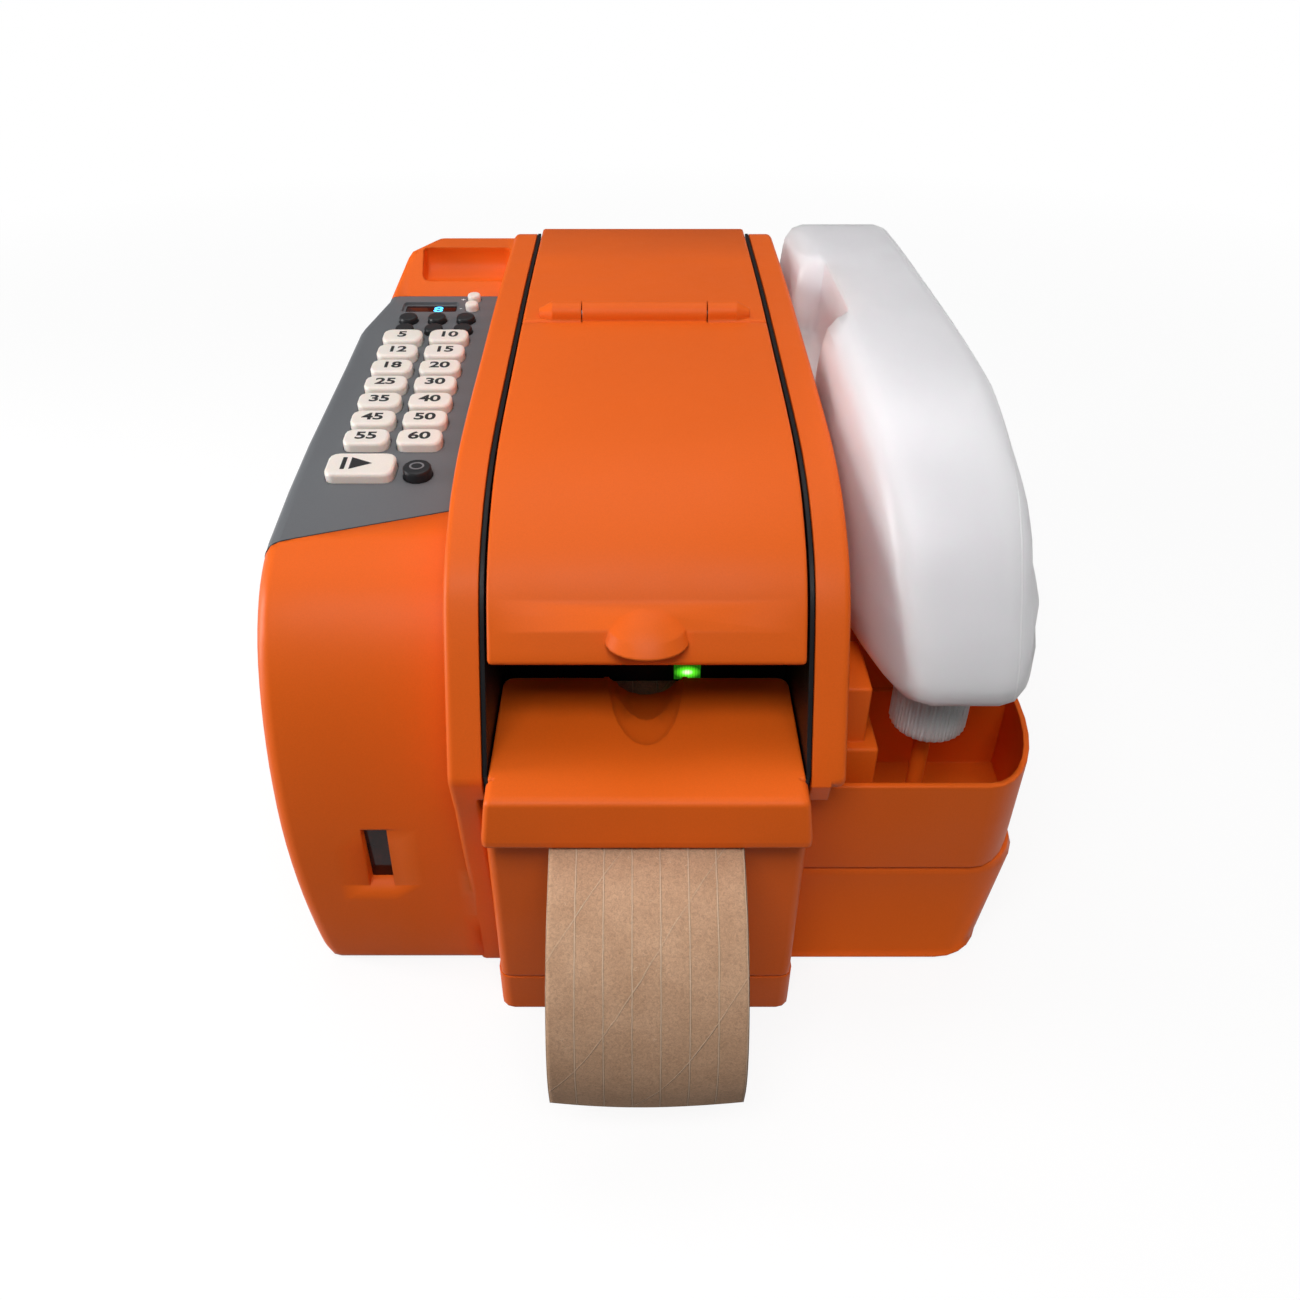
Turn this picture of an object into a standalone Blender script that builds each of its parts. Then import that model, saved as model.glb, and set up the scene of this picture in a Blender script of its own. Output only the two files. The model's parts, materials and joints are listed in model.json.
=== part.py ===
"""Gummed tape dispenser for a packing counter, with a keyboard, a heater cover and a water bottle.

Metres, +Z up. X runs to the right as the user sees it, and -Y points at the user.
The origin is on the counter, under the middle of the machine.
"""

import math

import bmesh
import bpy
from mathutils import Matrix, Vector

# Clearances and overruns
GAP = 0.0003
RUNNING_GAP = 0.0005
OVERRUN = 0.02
FLATNESS = 0.000002

# Whole machine
REAR_Y = 0.2198
HALF_WIDTH = 0.1632
REAR_RADIUS = 0.0080

# Curve of the middle section, as shares of its length from the rear and of its height
TOP_LENGTH = 0.3767
TOP_HEIGHT = 0.2370
TOP_CURVE_SHARES = (
    (0.0265, 1.0), (0.2705, 0.9945), (0.5131, 0.977), (0.7024, 0.959), (0.7879, 0.936),
    (0.8383, 0.907), (0.8800, 0.8705), (0.9110, 0.8236), (0.9380, 0.754), (0.9657, 0.6718), (1.0, 0.566),
)
CURVE_STEPS = 3

# Side bezels and the black side plates between bezels and covers
PLATE_INNER_X = 0.0622
PLATE_WALL = 0.0018
PLATE_INSET = 0.0010
BEZEL_INNER_X = PLATE_INNER_X + PLATE_WALL + GAP
BEZEL_OUTER_X = 0.0781
BEZEL_SOFT_EDGE = 0.0030
BEZEL_FOOT_Z = 0.1150
BEZEL_TIP_DROP = 0.0040
PLATE_STEP_Z = 0.1205
PLATE_FRONT_Y = -0.0925
RIM_FRONT_Y = -0.1550
BEZEL_FOOT_SHARES = ((-0.405, 0.465), (-0.395, 0.353), (-0.378, 0.215))
FORM_FOOT_SHARES = ((1.0, 0.118), (0.98, 0.0))

# Base pan under the middle section
BASE_HALF = 0.0655
HOUSING_INNER_X = BASE_HALF + RUNNING_GAP
BASE_FRONT_Y = -0.1657
BASE_HEIGHT = 0.0215
BASE_WALL = 0.0036
BASE_FLOOR = 0.0030
BASE_CORNER = 0.0060
BASE_REAR_Y = 0.2180

# Covers of the middle section
COVER_HALF = 0.0610
COVER_PROUD = 0.0025
COVER_WALL = 0.0026
COVER_SKIRT = 0.0080
COVER_EDGE = 0.0016
DOOR_REAR_Y = 0.0642
DOOR_FRONT_Y = -0.1384
REAR_COVER_FOOT_Z = BASE_HEIGHT + GAP
TAB_RADIUS = 0.0162
TAB_HEIGHT = 0.0112
TAB_DEPTH = 0.0128
TAB_RISE = 0.0075

# Hinge of the access door
HINGE_Y = 0.0715
HINGE_RISE = 0.0002
HINGE_Z = TOP_HEIGHT + HINGE_RISE
KNUCKLE_RADIUS = 0.0062
BARREL_HALF = 0.0310
KNUCKLE_OUTER_X = 0.0525
KNUCKLE_TAPER = 0.0065
PIN_RADIUS = 0.0018
PIN_FIT = 0.0004
HINGE_WEB = 0.0030

# Heater cover at the tape outlet
LID_HALF = 0.0616
LID_BACK_Y = -0.0955
LID_FRONT_Y = -0.1717
LID_TOP_Z = 0.1363
LID_LIP_Z = 0.1151
LID_WALL = 0.0026
LID_SKIRT = 0.0090
LID_EDGE = 0.0026
LIP_FLARE = 0.0024
LIP_RUN = 0.0040
LIP_START_Y = -0.1600
SCOOP_RADIUS = 0.0160
SCOOP_LENGTH = 0.0450
SCOOP_DEPTH = 0.0045
SCOOP_WALL = 0.0022
POCKET_RADIUS = 0.0135
POCKET_LENGTH = 0.0264
POCKET_DEPTH = 0.0100
LID_AXIS_Y = -0.0985
LID_AXIS_Z = 0.1305
LID_PIN_RADIUS = 0.0016

# Heater plate under the heater cover
HEATER_HALF = 0.0440
HEATER_BACK_Y = -0.1450
HEATER_FRONT_Y = -0.1665
HEATER_THICK = 0.0022

# Front housing of the water tank
FRONT_SET_BACK = 0.0010
FRONT_HALF = BASE_HALF - FRONT_SET_BACK
FRONT_REAR_Y = -0.0955
FRONT_TOP_Z = 0.1095
FRONT_WALL = 0.0022
FRONT_CORNER = 0.0045
FRONT_SEAM = 0.0015

# Water tank and brush inside the front housing
TANK_HALF = 0.0560
TANK_FRONT_Y = -0.1600
TANK_REAR_Y = -0.1020
TANK_TOP_Z = 0.0980
TANK_WALL = 0.0020
TANK_FEET_Z = 0.0004
BRUSH_HALF = 0.0410
BRUSH_FRONT_Y = -0.1480
BRUSH_REAR_Y = -0.1180
BRUSH_BLOCK = 0.0400
BRUSH_CLEAR = 0.0006
BRUSH_TUFT = 0.0070
BRUSH_TUFTS = 9

# Left housing with the keyboard
SIDE_DEPTH = 0.0695
SIDE_DROP = 0.0455
SIDE_RISE = TOP_HEIGHT - SIDE_DROP
SIDE_FRONT_SHARES = (
    (0.90, 0.0), (0.975, 0.018), (1.0, 0.06), (1.0, 0.14), (0.985, 0.28), (0.945, 0.45),
    (0.872, 0.61), (0.755, 0.755), (0.59, 0.868), (0.38, 0.944), (0.17, 0.984), (0.0, 1.0),
)
PANEL_FRONT_Y = -0.0720
PANEL_REAR_Y = 0.1680
PANEL_REAR_DROP = 0.0231
PANEL_REAR_Z = TOP_HEIGHT - PANEL_REAR_DROP
SIDE_ROUND = 0.0070
SIDE_ROUND_STEPS = 3
SIDE_LEAN = 0.0012
SIDE_LEAN_Z = 0.1200
SIDE_TAPER = 0.0350
SIDE_TAPER_SHARES = (
    (0.0, 1.0), (0.04, 0.81), (0.09, 0.56), (0.1375, 0.33), (0.228, 0.085), (0.371, 0.057), (0.583, 0.0),
    (0.769, 0.028), (0.93, 0.107), (1.09, 0.21),
)
CROWN_SHARES = (0.75, 0.40)
SIDE_FOOT_INSET = 0.0090
SIDE_FOOT_HEIGHT = 0.1000
HUMP_FRONT_Y = 0.1900
HUMP_DROP = 0.0025
HUMP_Z = TOP_HEIGHT - HUMP_DROP
GRIP_RADIUS = 0.0120
GRIP_Y = 0.1835
GRIP_DROP = 0.0055
GRIP_Z = HUMP_Z - GRIP_DROP
GRIP_INSET = 0.0332

# Keyboard panel
PANEL_WALL = 0.0035
PANEL_INNER_X = 0.0786
PANEL_SIDE_WALL = 0.0050
PANEL_SKIRT = 0.0130
PANEL_EDGE_Y = -0.0520
PANEL_CORNER = 0.0080
PANEL_SLANT = 0.0245
BAY_FLOOR = 0.0165
BAY_INNER_X = 0.0850
BAY_SIDE_WALL = 0.0095
BAY_FRONT_Y = -0.0450
BAY_REAR_Y = 0.1670
BOARD_WALL = 0.0016
BOARD_MARGIN = 0.0012
BOARD_INSET = 0.0240

# Keys on the panel
KEY_WIDTH = 0.0212
KEY_DEPTH = 0.0138
KEY_CORNER = 0.0044
KEY_RISE = 0.0046
KEY_SINK = 0.0062
KEY_EDGE = 0.0014
KEY_FIT = 0.0004
KEY_COLUMNS = (0.0320, 0.0570)
KEY_FIRST_Y = 0.1090
KEY_PITCH = 0.0176
KEY_ROWS = 7
START_WIDTH = 0.0310
START_DEPTH = 0.0185
START_INSET = 0.0339
START_Y = -0.0206
STOP_RADIUS = 0.0066
STOP_INSET = 0.0600
STOP_Y = -0.0235
STOP_RISE = 0.0050
MODE_RADIUS = 0.0052
MODE_RISE = 0.0034
MODE_COLUMNS = (0.0309, 0.0470, 0.0631)
MODE_ROWS = (0.1350, 0.1212)
SMALL_RADIUS = 0.0038
SMALL_RISE = 0.0040
SMALL_INSET = 0.0648
SMALL_ROWS = (0.1625, 0.1508)
ROUND_SIDES = 14

# Display window in the panel
DISPLAY_INSET = 0.0405
DISPLAY_Y = 0.1537
DISPLAY_WIDTH = 0.0320
DISPLAY_DEPTH = 0.0130
DISPLAY_CORNER = 0.0020
DISPLAY_LEDGE = 0.0014
DISPLAY_SUNK = 0.0018
DISPLAY_WALL = 0.0014

# Sensor window in the front of the left housing
SENSOR_INSET = 0.0460
SENSOR_X = SENSOR_INSET - HALF_WIDTH
SENSOR_HALF = 0.0056
SENSOR_LOW_Z = 0.0532
SENSOR_HIGH_Z = 0.0856
SENSOR_BACK_Y = -0.1310
SENSOR_WALL = 0.0030

# Right body: lower housing, water tray and bottle cradle
STEP_Z = 0.0659
TRAY_TOP_Z = 0.1146
TRAY_FRONT_Y = -0.1415
TRAY_REAR_Y = -0.0760
TRAY_OUTER_X = 0.1694
TRAY_WALL = 0.0026
TRAY_FLOOR = 0.0050
TRAY_CORNER = 0.0270
TRAY_CORNER_LENGTH = 0.0550
TRAY_POOL_X = 0.0810
BODY_OUTER_X = 0.1672
BODY_CORNER = 0.0270
BODY_ROUND = 0.0050
BODY_REAR_Y = 0.2050
BLOCK_OUTER_X = 0.1500
CRADLE_X = 0.0917
CRADLE_FRONT_Y = -0.1240
CRADLE_STEP_Y = -0.1290
CRADLE_REAR_Y = -0.0900
CRADLE_TOP_Z = 0.1520
CRADLE_STEP_Z = 0.1240
POST_RADIUS = 0.0035
POST_COLLAR = 0.0080
POST_PIN_RADIUS = 0.0022
POST_PIN_LENGTH = 0.0090
POST_COLLAR_Z = 0.0040

# Bottle, standing on its neck with the cap in the tray
BOTTLE_LEFT_X = 0.0795
BOTTLE_WIDTH = 0.0835
BOTTLE_ROUND = 0.0120
BOTTLE_ROUND_STEPS = 3
BOTTLE_FOOT_Z = 0.1530
BOTTLE_REAR_Y = 0.2150
BOTTLE_HEIGHT = 0.0990
BOTTLE_LENGTH = 0.3580
BOTTLE_SHARES = (
    (0.0, 0.06), (-0.004, 0.14), (0.012, 0.28), (0.052, 0.52), (0.093, 0.70), (0.148, 0.86),
    (0.215, 0.955), (0.295, 0.99), (0.44, 0.995), (0.70, 0.97), (0.955, 0.93), (0.992, 0.87), (1.0, 0.74),
    (1.0, 0.16), (0.985, 0.03), (0.95, -0.02), (0.60, -0.02), (0.25, -0.02), (0.19, 0.02), (0.06, 0.02),
    (0.02, 0.025),
)
BOTTLE_LEFT_SHARES = (
    (0.0, 0.0), (0.70, 0.0), (0.76, 0.008), (0.81, 0.024), (0.86, 0.056), (0.91, 0.10), (0.96, 0.158),
    (1.01, 0.24),
)
BOTTLE_RIGHT_SHARES = (
    (0.0, 0.0), (0.80, 0.0), (0.86, 0.0), (0.895, 0.014), (0.93, 0.048), (0.965, 0.105), (1.01, 0.20),
)
BOTTLE_LEAN_SHARES = (
    (1.1, 0.235), (0.864, 0.18), (0.657, 0.12), (0.404, 0.064), (0.20, 0.005), (0.02, 0.0), (-0.1, 0.0),
)
BOTTLE_LEAN_RUN_SHARES = ((0.0, 0.80), (0.5, 0.88), (0.70, 0.96), (0.84, 1.2), (1.01, 1.25))
RECESS_FRONT_Y = 0.0310
RECESS_REAR_Y = 0.1255
RECESS_DEPTH = 0.0165
RECESS_FLOOR_Z = 0.2050
RECESS_ROUND = 0.0090
NECK_X = 0.1180
NECK_Y = -0.1170
NECK_RADIUS = 0.0120
NECK_LENGTH = 0.0160
MOUTH_RADIUS = 0.0072
CAP_RADIUS = 0.0158
CAP_HEIGHT = 0.0225
CAP_RIBS = 32
CAP_RIB_DEPTH = 0.0005
CAP_EDGE = 0.0016
VALVE_RADIUS = 0.0030
VALVE_HEIGHT = 0.0110

# Tape roll, rollers and feed
ROLL_RADIUS = 0.0880
ROLL_Y = 0.1120
ROLL_Z = 0.1250
TAPE_HALF = 0.0380
CORE_RADIUS = 0.0160
ROLL_SIDES = 64
CRADLE_ROLLER_RADIUS = 0.0070
CRADLE_ROLLER_OFFSET = 0.0450
ROLLER_HALF = 0.0618
FEED_Y = -0.0300
FEED_Z = 0.1040
FEED_RADIUS = 0.0200
FEED_HALF = 0.0340
SHAFT_RADIUS = 0.0040
PRESS_RADIUS = 0.0090
PRESS_HALF = 0.0300
MOTOR_RADIUS = 0.0190
MOTOR_LENGTH = 0.0180
TAPE_THICK = 0.0006
TAPE_PATH_Z = FEED_Z + FEED_RADIUS + GAP + TAPE_THICK / 2
GUIDE_REAR_Y = 0.0060

# Shear
CUT_Y = -0.0700
CUT_GAP = 0.0016
BLADE_WALL = 0.0008
BLADE_HEIGHT = 0.0150
BLADE_HALF = 0.0440
BLADE_LIFT = 0.0030
FIXED_BLADE_HEIGHT = 0.0300
FIXED_BLADE_WALL = 0.0030
SOLENOID_HALF = 0.0120
SOLENOID_DEPTH = 0.0180
SOLENOID_HEIGHT = 0.0220
BRACKET_WALL = 0.0020
BRACKET_HEIGHT = 0.0140

# Dispensed strip: places from the cut to the free end, as length from the cut and height
STRIP_RUN = ((-0.0709, 0.1244), (-0.1000, 0.1228), (-0.1400, 0.1184), (-0.1657, 0.1146), (-0.1757, 0.1126))
STRIP_CURL = (
    (-0.1880, 0.1094), (-0.2010, 0.1045), (-0.2126, 0.0972), (-0.2226, 0.0870), (-0.2305, 0.0735),
    (-0.2346, 0.0590), (-0.2349, 0.0450), (-0.2318, 0.0296),
)

# Green lamp behind the heater cover
LAMP_X = 0.01825
LAMP_HALF = 0.0058
LAMP_BACK_Y = -0.0872
LAMP_HEIGHT = 0.0075
LAMP_TOP_Z = 0.1386
LAMP_WALL = 0.0030
BULKHEAD_WALL = 0.0020
BULKHEAD_TOP_Z = 0.1420

COLLECTION = "gummed_tape_dispenser"


def material(name, colour, roughness, metallic=0.0):
    made = bpy.data.materials.new(name)
    made.use_nodes = True
    made.diffuse_color = (*colour, 1.0)
    shader = made.node_tree.nodes["Principled BSDF"]
    shader.inputs["Base Color"].default_value = (*colour, 1.0)
    shader.inputs["Roughness"].default_value = roughness
    shader.inputs["Metallic"].default_value = metallic
    return made


def collection(name):
    made = bpy.data.collections.new(name)
    bpy.context.scene.collection.children.link(made)
    return made


def clear_scene():
    for obj in list(bpy.data.objects):
        bpy.data.objects.remove(obj)


def is_flat(face):
    start = face.verts[0].co
    face.normal_update()
    return all(abs((corner.co - start).dot(face.normal)) < FLATNESS for corner in face.verts)


def finish(name, mesh_source, look, sharp=32.0):
    """Turns a bmesh into an object of the machine, smooth except at its sharp edges."""
    uneven = [face for face in mesh_source.faces if not is_flat(face)]
    bmesh.ops.triangulate(mesh_source, faces=uneven)
    bmesh.ops.recalc_face_normals(mesh_source, faces=mesh_source.faces)
    mesh = bpy.data.meshes.new(name)
    mesh_source.to_mesh(mesh)
    mesh_source.free()
    mesh.shade_smooth()
    mesh.set_sharp_from_angle(angle=math.radians(sharp))
    mesh.materials.append(bpy.data.materials[look])
    obj = bpy.data.objects.new(name, mesh)
    bpy.data.collections[COLLECTION].objects.link(obj)
    return obj


def as_cutter(obj):
    """Moves an object to the cutters, which aren't pieces of the machine."""
    bpy.data.collections[COLLECTION].objects.unlink(obj)
    bpy.data.collections["cutters"].objects.link(obj)
    obj.hide_render = True
    obj.display_type = "WIRE"
    return obj


def boolean(obj, other, operation):
    step = obj.modifiers.new(operation.lower(), "BOOLEAN")
    step.operation = operation
    step.object = as_cutter(other) if not other.hide_render else other
    return obj


def put_origin(obj, place):
    """Puts an object's origin on the axis it moves on, and leaves its shape where it is."""
    obj.data.transform(Matrix.Translation(place).inverted())
    obj.location = place


def cut(obj, *others):
    for other in others:
        boolean(obj, other, "DIFFERENCE")
    return obj


def join(obj, *others):
    for other in others:
        boolean(obj, other, "UNION")
    return obj


def soften(obj, width, segments=2, angle=40.0):
    step = obj.modifiers.new("soft edges", "BEVEL")
    step.width = width
    step.segments = segments
    step.limit_method = "ANGLE"
    step.angle_limit = math.radians(angle)
    return obj


def placed(u, v, w, axis):
    """The point with outline coordinates u and v at the place w along an axis."""
    return {"X": (w, u, v), "Y": (u, w, v), "Z": (u, v, w)}[axis]


def loft(name, rings, look, sharp=32.0):
    """A closed skin through rings with equally many points, with flat ends."""
    shape = bmesh.new()
    rows = [[shape.verts.new(point) for point in ring] for ring in rings]
    for row, following in zip(rows, rows[1:]):
        for i in range(len(row)):
            j = (i + 1) % len(row)
            shape.faces.new((row[i], row[j], following[j], following[i]))
    shape.faces.new(rows[0])
    shape.faces.new(rows[-1])
    return finish(name, shape, look, sharp)


def prism(name, outline, axis, low, high, look):
    """An outline carried along an axis."""
    rings = [[placed(u, v, w, axis) for u, v in outline] for w in (low, high)]
    return loft(name, rings, look)


def box(name, xs, ys, zs, look):
    outline = [(xs[0], ys[0]), (xs[1], ys[0]), (xs[1], ys[1]), (xs[0], ys[1])]
    return prism(name, outline, "Z", zs[0], zs[1], look)


def arc(centre, radius, start, end, steps):
    """Points on an arc, with its angles in degrees."""
    points = []
    for i in range(steps + 1):
        angle = math.radians(start + (end - start) * i / steps)
        points.append((centre[0] + radius * math.cos(angle), centre[1] + radius * math.sin(angle)))
    return points


def rounded(low, high, radii, steps=3):
    """A rectangle with corner radii at low-low, high-low, high-high and low-high."""
    corners = (
        (low[0], low[1], 1, 1, 180), (high[0], low[1], -1, 1, 270),
        (high[0], high[1], -1, -1, 0), (low[0], high[1], 1, -1, 90),
    )
    points = []
    for (u, v, du, dv, start), radius in zip(corners, radii):
        if radius:
            centre = (u + du * radius, v + dv * radius)
            points += arc(centre, radius, start, start + 90, steps)
        else:
            points.append((u, v))
    return points


def rod(name, axis, centre, radius, low, high, look, sides=20):
    outline = arc(centre, radius, 0, 360 - 360 / sides, sides - 1)
    return prism(name, outline, axis, low, high, look)


def turned(name, centre, profile, look, sides=24):
    """A turned shape about a vertical axis, from (radius, height) points from its foot to its top."""
    rings = []
    for radius, height in profile:
        ring = arc(centre, radius, 0, 360 - 360 / sides, sides - 1)
        rings.append([(x, y, height) for x, y in ring])
    return loft(name, rings, look)


def smooth(points, steps):
    """A flowing line through the points, which it keeps."""
    line = []
    for i in range(len(points) - 1):
        a = points[max(i - 1, 0)]
        b = points[i]
        c = points[i + 1]
        d = points[min(i + 2, len(points) - 1)]
        for k in range(steps):
            t = k / steps
            place = []
            for p, q, r, s in zip(a, b, c, d):
                bend = (2 * p - 5 * q + 4 * r - s) * t * t
                turn = (3 * q - p - 3 * r + s) * t ** 3
                place.append((2 * q + (r - p) * t + bend + turn) / 2)
            line.append(tuple(place))
    line.append(points[-1])
    return line


def beside(line, distance):
    """A line that runs towards -Y, moved outwards, which is up where it is level."""
    moved = []
    for i, (u, v) in enumerate(line):
        before = Vector(line[max(i - 1, 0)])
        after = Vector(line[min(i + 1, len(line) - 1)])
        along = (after - before).normalized()
        moved.append((u + along.y * distance, v - along.x * distance))
    return moved


def top_curve():
    """The middle section's curve from the rear edge to the front, as (y, z)."""
    points = [(REAR_Y - TOP_LENGTH * y, TOP_HEIGHT * z) for y, z in TOP_CURVE_SHARES]
    return smooth(points, CURVE_STEPS)


def clipped(line, front_y, rear_y):
    """The part of a line between two places along Y, with its ends exactly there."""
    kept = []
    for (y0, z0), (y1, z1) in zip(line, line[1:]):
        for edge in (rear_y, front_y):
            if y1 < edge < y0:
                share = (y0 - edge) / (y0 - y1)
                kept.append((edge, z0 + share * (z1 - z0)))
        if front_y < y1 < rear_y:
            kept.append((y1, z1))
    return kept


def panel_z(y):
    """Height of the keyboard's surface."""
    slope = (PANEL_REAR_Z - SIDE_RISE) / (PANEL_REAR_Y - PANEL_FRONT_Y)
    return SIDE_RISE + slope * (y - PANEL_FRONT_Y)


def between(start, end, count):
    """The points that divide a straight line into equal lengths, without its ends."""
    return [tuple(p + (q - p) * i / count for p, q in zip(start, end)) for i in range(1, count)]


def side_outline():
    """Side view of the left housing, from the front foot over the top to the rear foot and back."""
    front = [(PANEL_FRONT_Y - SIDE_DEPTH * y, SIDE_RISE * z) for y, z in SIDE_FRONT_SHARES]
    line = [front[0]] + smooth(front[1:], CURVE_STEPS)
    line += between(line[-1], (PANEL_REAR_Y, PANEL_REAR_Z), 6)
    line.append((PANEL_REAR_Y, PANEL_REAR_Z))
    line.append((HUMP_FRONT_Y, HUMP_Z))
    line += arc((REAR_Y - REAR_RADIUS, HUMP_Z - REAR_RADIUS), REAR_RADIUS, 90, 0, 4)
    line += between(line[-1], (REAR_Y, 0.0), 3)
    line.append((REAR_Y, 0.0))
    return line + between(line[-1], front[0], 9)


def side_taper():
    """How far the left side draws in towards the rear, as (y, inset)."""
    points = [(REAR_Y - TOP_LENGTH * y, SIDE_TAPER * inset) for y, inset in SIDE_TAPER_SHARES]
    return smooth(points, CURVE_STEPS)


def crowned(ring, side_x, middle_y, middle_z):
    """Smaller and smaller rings that close a side whose place along X follows y and z."""
    rings = []
    for share in CROWN_SHARES:
        smaller = []
        for _, y, z in ring:
            smaller.append((middle_y + (y - middle_y) * share, middle_z + (z - middle_z) * share))
        rings.append([(side_x(y, z), y, z) for y, z in smaller])
    return rings


def side_loft(name, look):
    """The left housing's outer form, which draws in towards its rear, its top and its foot."""
    outline = side_outline()
    taper = side_taper()
    middle_y = (REAR_Y + PANEL_FRONT_Y - SIDE_DEPTH) / 2
    half_y = (REAR_Y - PANEL_FRONT_Y + SIDE_DEPTH) / 2

    def side_x(y, z):
        low = max(0.0, 1 - z / SIDE_FOOT_HEIGHT)
        high = max(0.0, (z - SIDE_LEAN_Z) / (SIDE_RISE - SIDE_LEAN_Z))
        return height_at(taper, y) + SIDE_LEAN * high + SIDE_FOOT_INSET * low * low - HALF_WIDTH

    rings = [[(-BEZEL_OUTER_X + PLATE_WALL, y, z) for y, z in outline]]
    for i in range(SIDE_ROUND_STEPS + 1):
        angle = math.radians(90) * i / SIDE_ROUND_STEPS
        back = SIDE_ROUND * (1 - math.sin(angle))
        inset = SIDE_ROUND * (1 - math.cos(angle))
        ring = []
        for y, z in outline:
            shrunk_y = middle_y + (y - middle_y) * (1 - inset / half_y)
            ring.append((side_x(y, z) + back, shrunk_y, z * (1 - inset / SIDE_RISE)))
        rings.append(ring)
    crown = crowned(rings[-1], side_x, PANEL_REAR_Y / 2, SIDE_RISE / 2)
    return loft(name, rings + crown, look)


def beside_left(name, inset, gap):
    """The space under the keyboard to the right of the left side, from an inset that a gap widens."""
    line = [(depth + inset + gap + SIDE_LEAN - HALF_WIDTH, y) for y, depth in side_taper()]
    return prism(name, line + [(0.0, line[-1][1]), (0.0, REAR_Y)], "Z", 0.0, HUMP_Z + OVERRUN, "panel_grey")


def under_panel(name, depth):
    """The space from a depth under the keyboard's surface downwards, over the whole width."""
    front = PANEL_EDGE_Y - OVERRUN * 3
    rear = PANEL_REAR_Y + OVERRUN
    outline = [(front, 0.0), (rear, 0.0), (rear, panel_z(rear) - depth), (front, panel_z(front) - depth)]
    return prism(name, outline, "X", -HALF_WIDTH - OVERRUN * 2, 0.0, "panel_grey")


def panel_region(name, gap):
    """The space of the keyboard panel, wider by a gap on every side."""
    slant_y = PANEL_EDGE_Y - PANEL_SLANT
    outline = [
        (-PANEL_INNER_X + gap, PANEL_REAR_Y + gap),
        (-HALF_WIDTH - OVERRUN, PANEL_REAR_Y + gap),
        (-HALF_WIDTH - OVERRUN, slant_y - PANEL_SLANT * OVERRUN / (HALF_WIDTH - PANEL_INNER_X) - gap),
        (-HALF_WIDTH, slant_y - gap),
    ]
    outline += [
        (-PANEL_INNER_X - PANEL_CORNER, PANEL_EDGE_Y - gap),
        (-PANEL_INNER_X - PANEL_CORNER / 3, PANEL_EDGE_Y + PANEL_CORNER / 3 - gap),
        (-PANEL_INNER_X + gap, PANEL_EDGE_Y + PANEL_CORNER - gap),
    ]
    region = prism(name, outline, "Z", SIDE_RISE / 2, HUMP_Z + OVERRUN, "panel_grey")
    inside = under_panel(name + "_inside", PANEL_WALL + gap)
    boolean(inside, beside_left(name + "_side", PANEL_SIDE_WALL, gap), "INTERSECT")
    return cut(region, under_panel(name + "_skirt", PANEL_SKIRT + gap), inside)


def panel_frame(x, y):
    """Placement on the keyboard's surface, with Z square to it."""
    slope = math.atan2(PANEL_REAR_Z - SIDE_RISE, PANEL_REAR_Y - PANEL_FRONT_Y)
    return Matrix.Translation((x, y, panel_z(y))) @ Matrix.Rotation(slope, 4, "X")


def key_rings(outline, low, high, edge):
    """Rings of a cap with a rounded upper rim."""
    rings = [[(u, v, low) for u, v in outline]]
    for angle in (0, 45, 90):
        turn = math.radians(angle)
        inset = edge * (1 - math.cos(turn))
        height = high - edge * (1 - math.sin(turn))
        ring = []
        for u, v in outline:
            away = Vector((u, v))
            away -= away.normalized() * inset
            ring.append((away.x, away.y, height))
        rings.append(ring)
    return rings


def key_outline(width, depth, corner, grow=0.0):
    half = (width / 2 + grow, depth / 2 + grow)
    return rounded((-half[0], -half[1]), half, [corner + grow] * 4)


def key_list():
    """Every button as (name, x, y, outline maker, rise, edge, look)."""
    def square(width, depth, corner):
        return lambda grow: key_outline(width, depth, corner, grow)

    def round_shape(radius):
        return lambda grow: arc((0.0, 0.0), radius + grow, 0, 360 - 360 / ROUND_SIDES, ROUND_SIDES - 1)

    keys = []
    for row in range(KEY_ROWS):
        for column, inset in enumerate(KEY_COLUMNS):
            name = f"length_key_{row * len(KEY_COLUMNS) + column + 1:02d}"
            y = KEY_FIRST_Y - row * KEY_PITCH
            shape = square(KEY_WIDTH, KEY_DEPTH, KEY_CORNER)
            keys.append((name, inset - HALF_WIDTH, y, shape, KEY_RISE, KEY_EDGE, "key_cream"))
    start = square(START_WIDTH, START_DEPTH, KEY_CORNER)
    keys.append(("start_key", START_INSET - HALF_WIDTH, START_Y, start, KEY_RISE, KEY_EDGE, "key_cream"))
    stop = round_shape(STOP_RADIUS)
    keys.append(("stop_button", STOP_INSET - HALF_WIDTH, STOP_Y, stop, STOP_RISE, KEY_EDGE, "button_black"))
    for row, y in enumerate(MODE_ROWS):
        for column, inset in enumerate(MODE_COLUMNS):
            name = f"mode_button_{row * len(MODE_COLUMNS) + column + 1}"
            x = inset - HALF_WIDTH
            keys.append((name, x, y, round_shape(MODE_RADIUS), MODE_RISE, KEY_EDGE, "button_black"))
    for row, y in enumerate(SMALL_ROWS):
        name = f"adjust_button_{row + 1}"
        x = SMALL_INSET - HALF_WIDTH
        keys.append((name, x, y, round_shape(SMALL_RADIUS), SMALL_RISE, KEY_EDGE, "key_cream"))
    return keys


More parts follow.
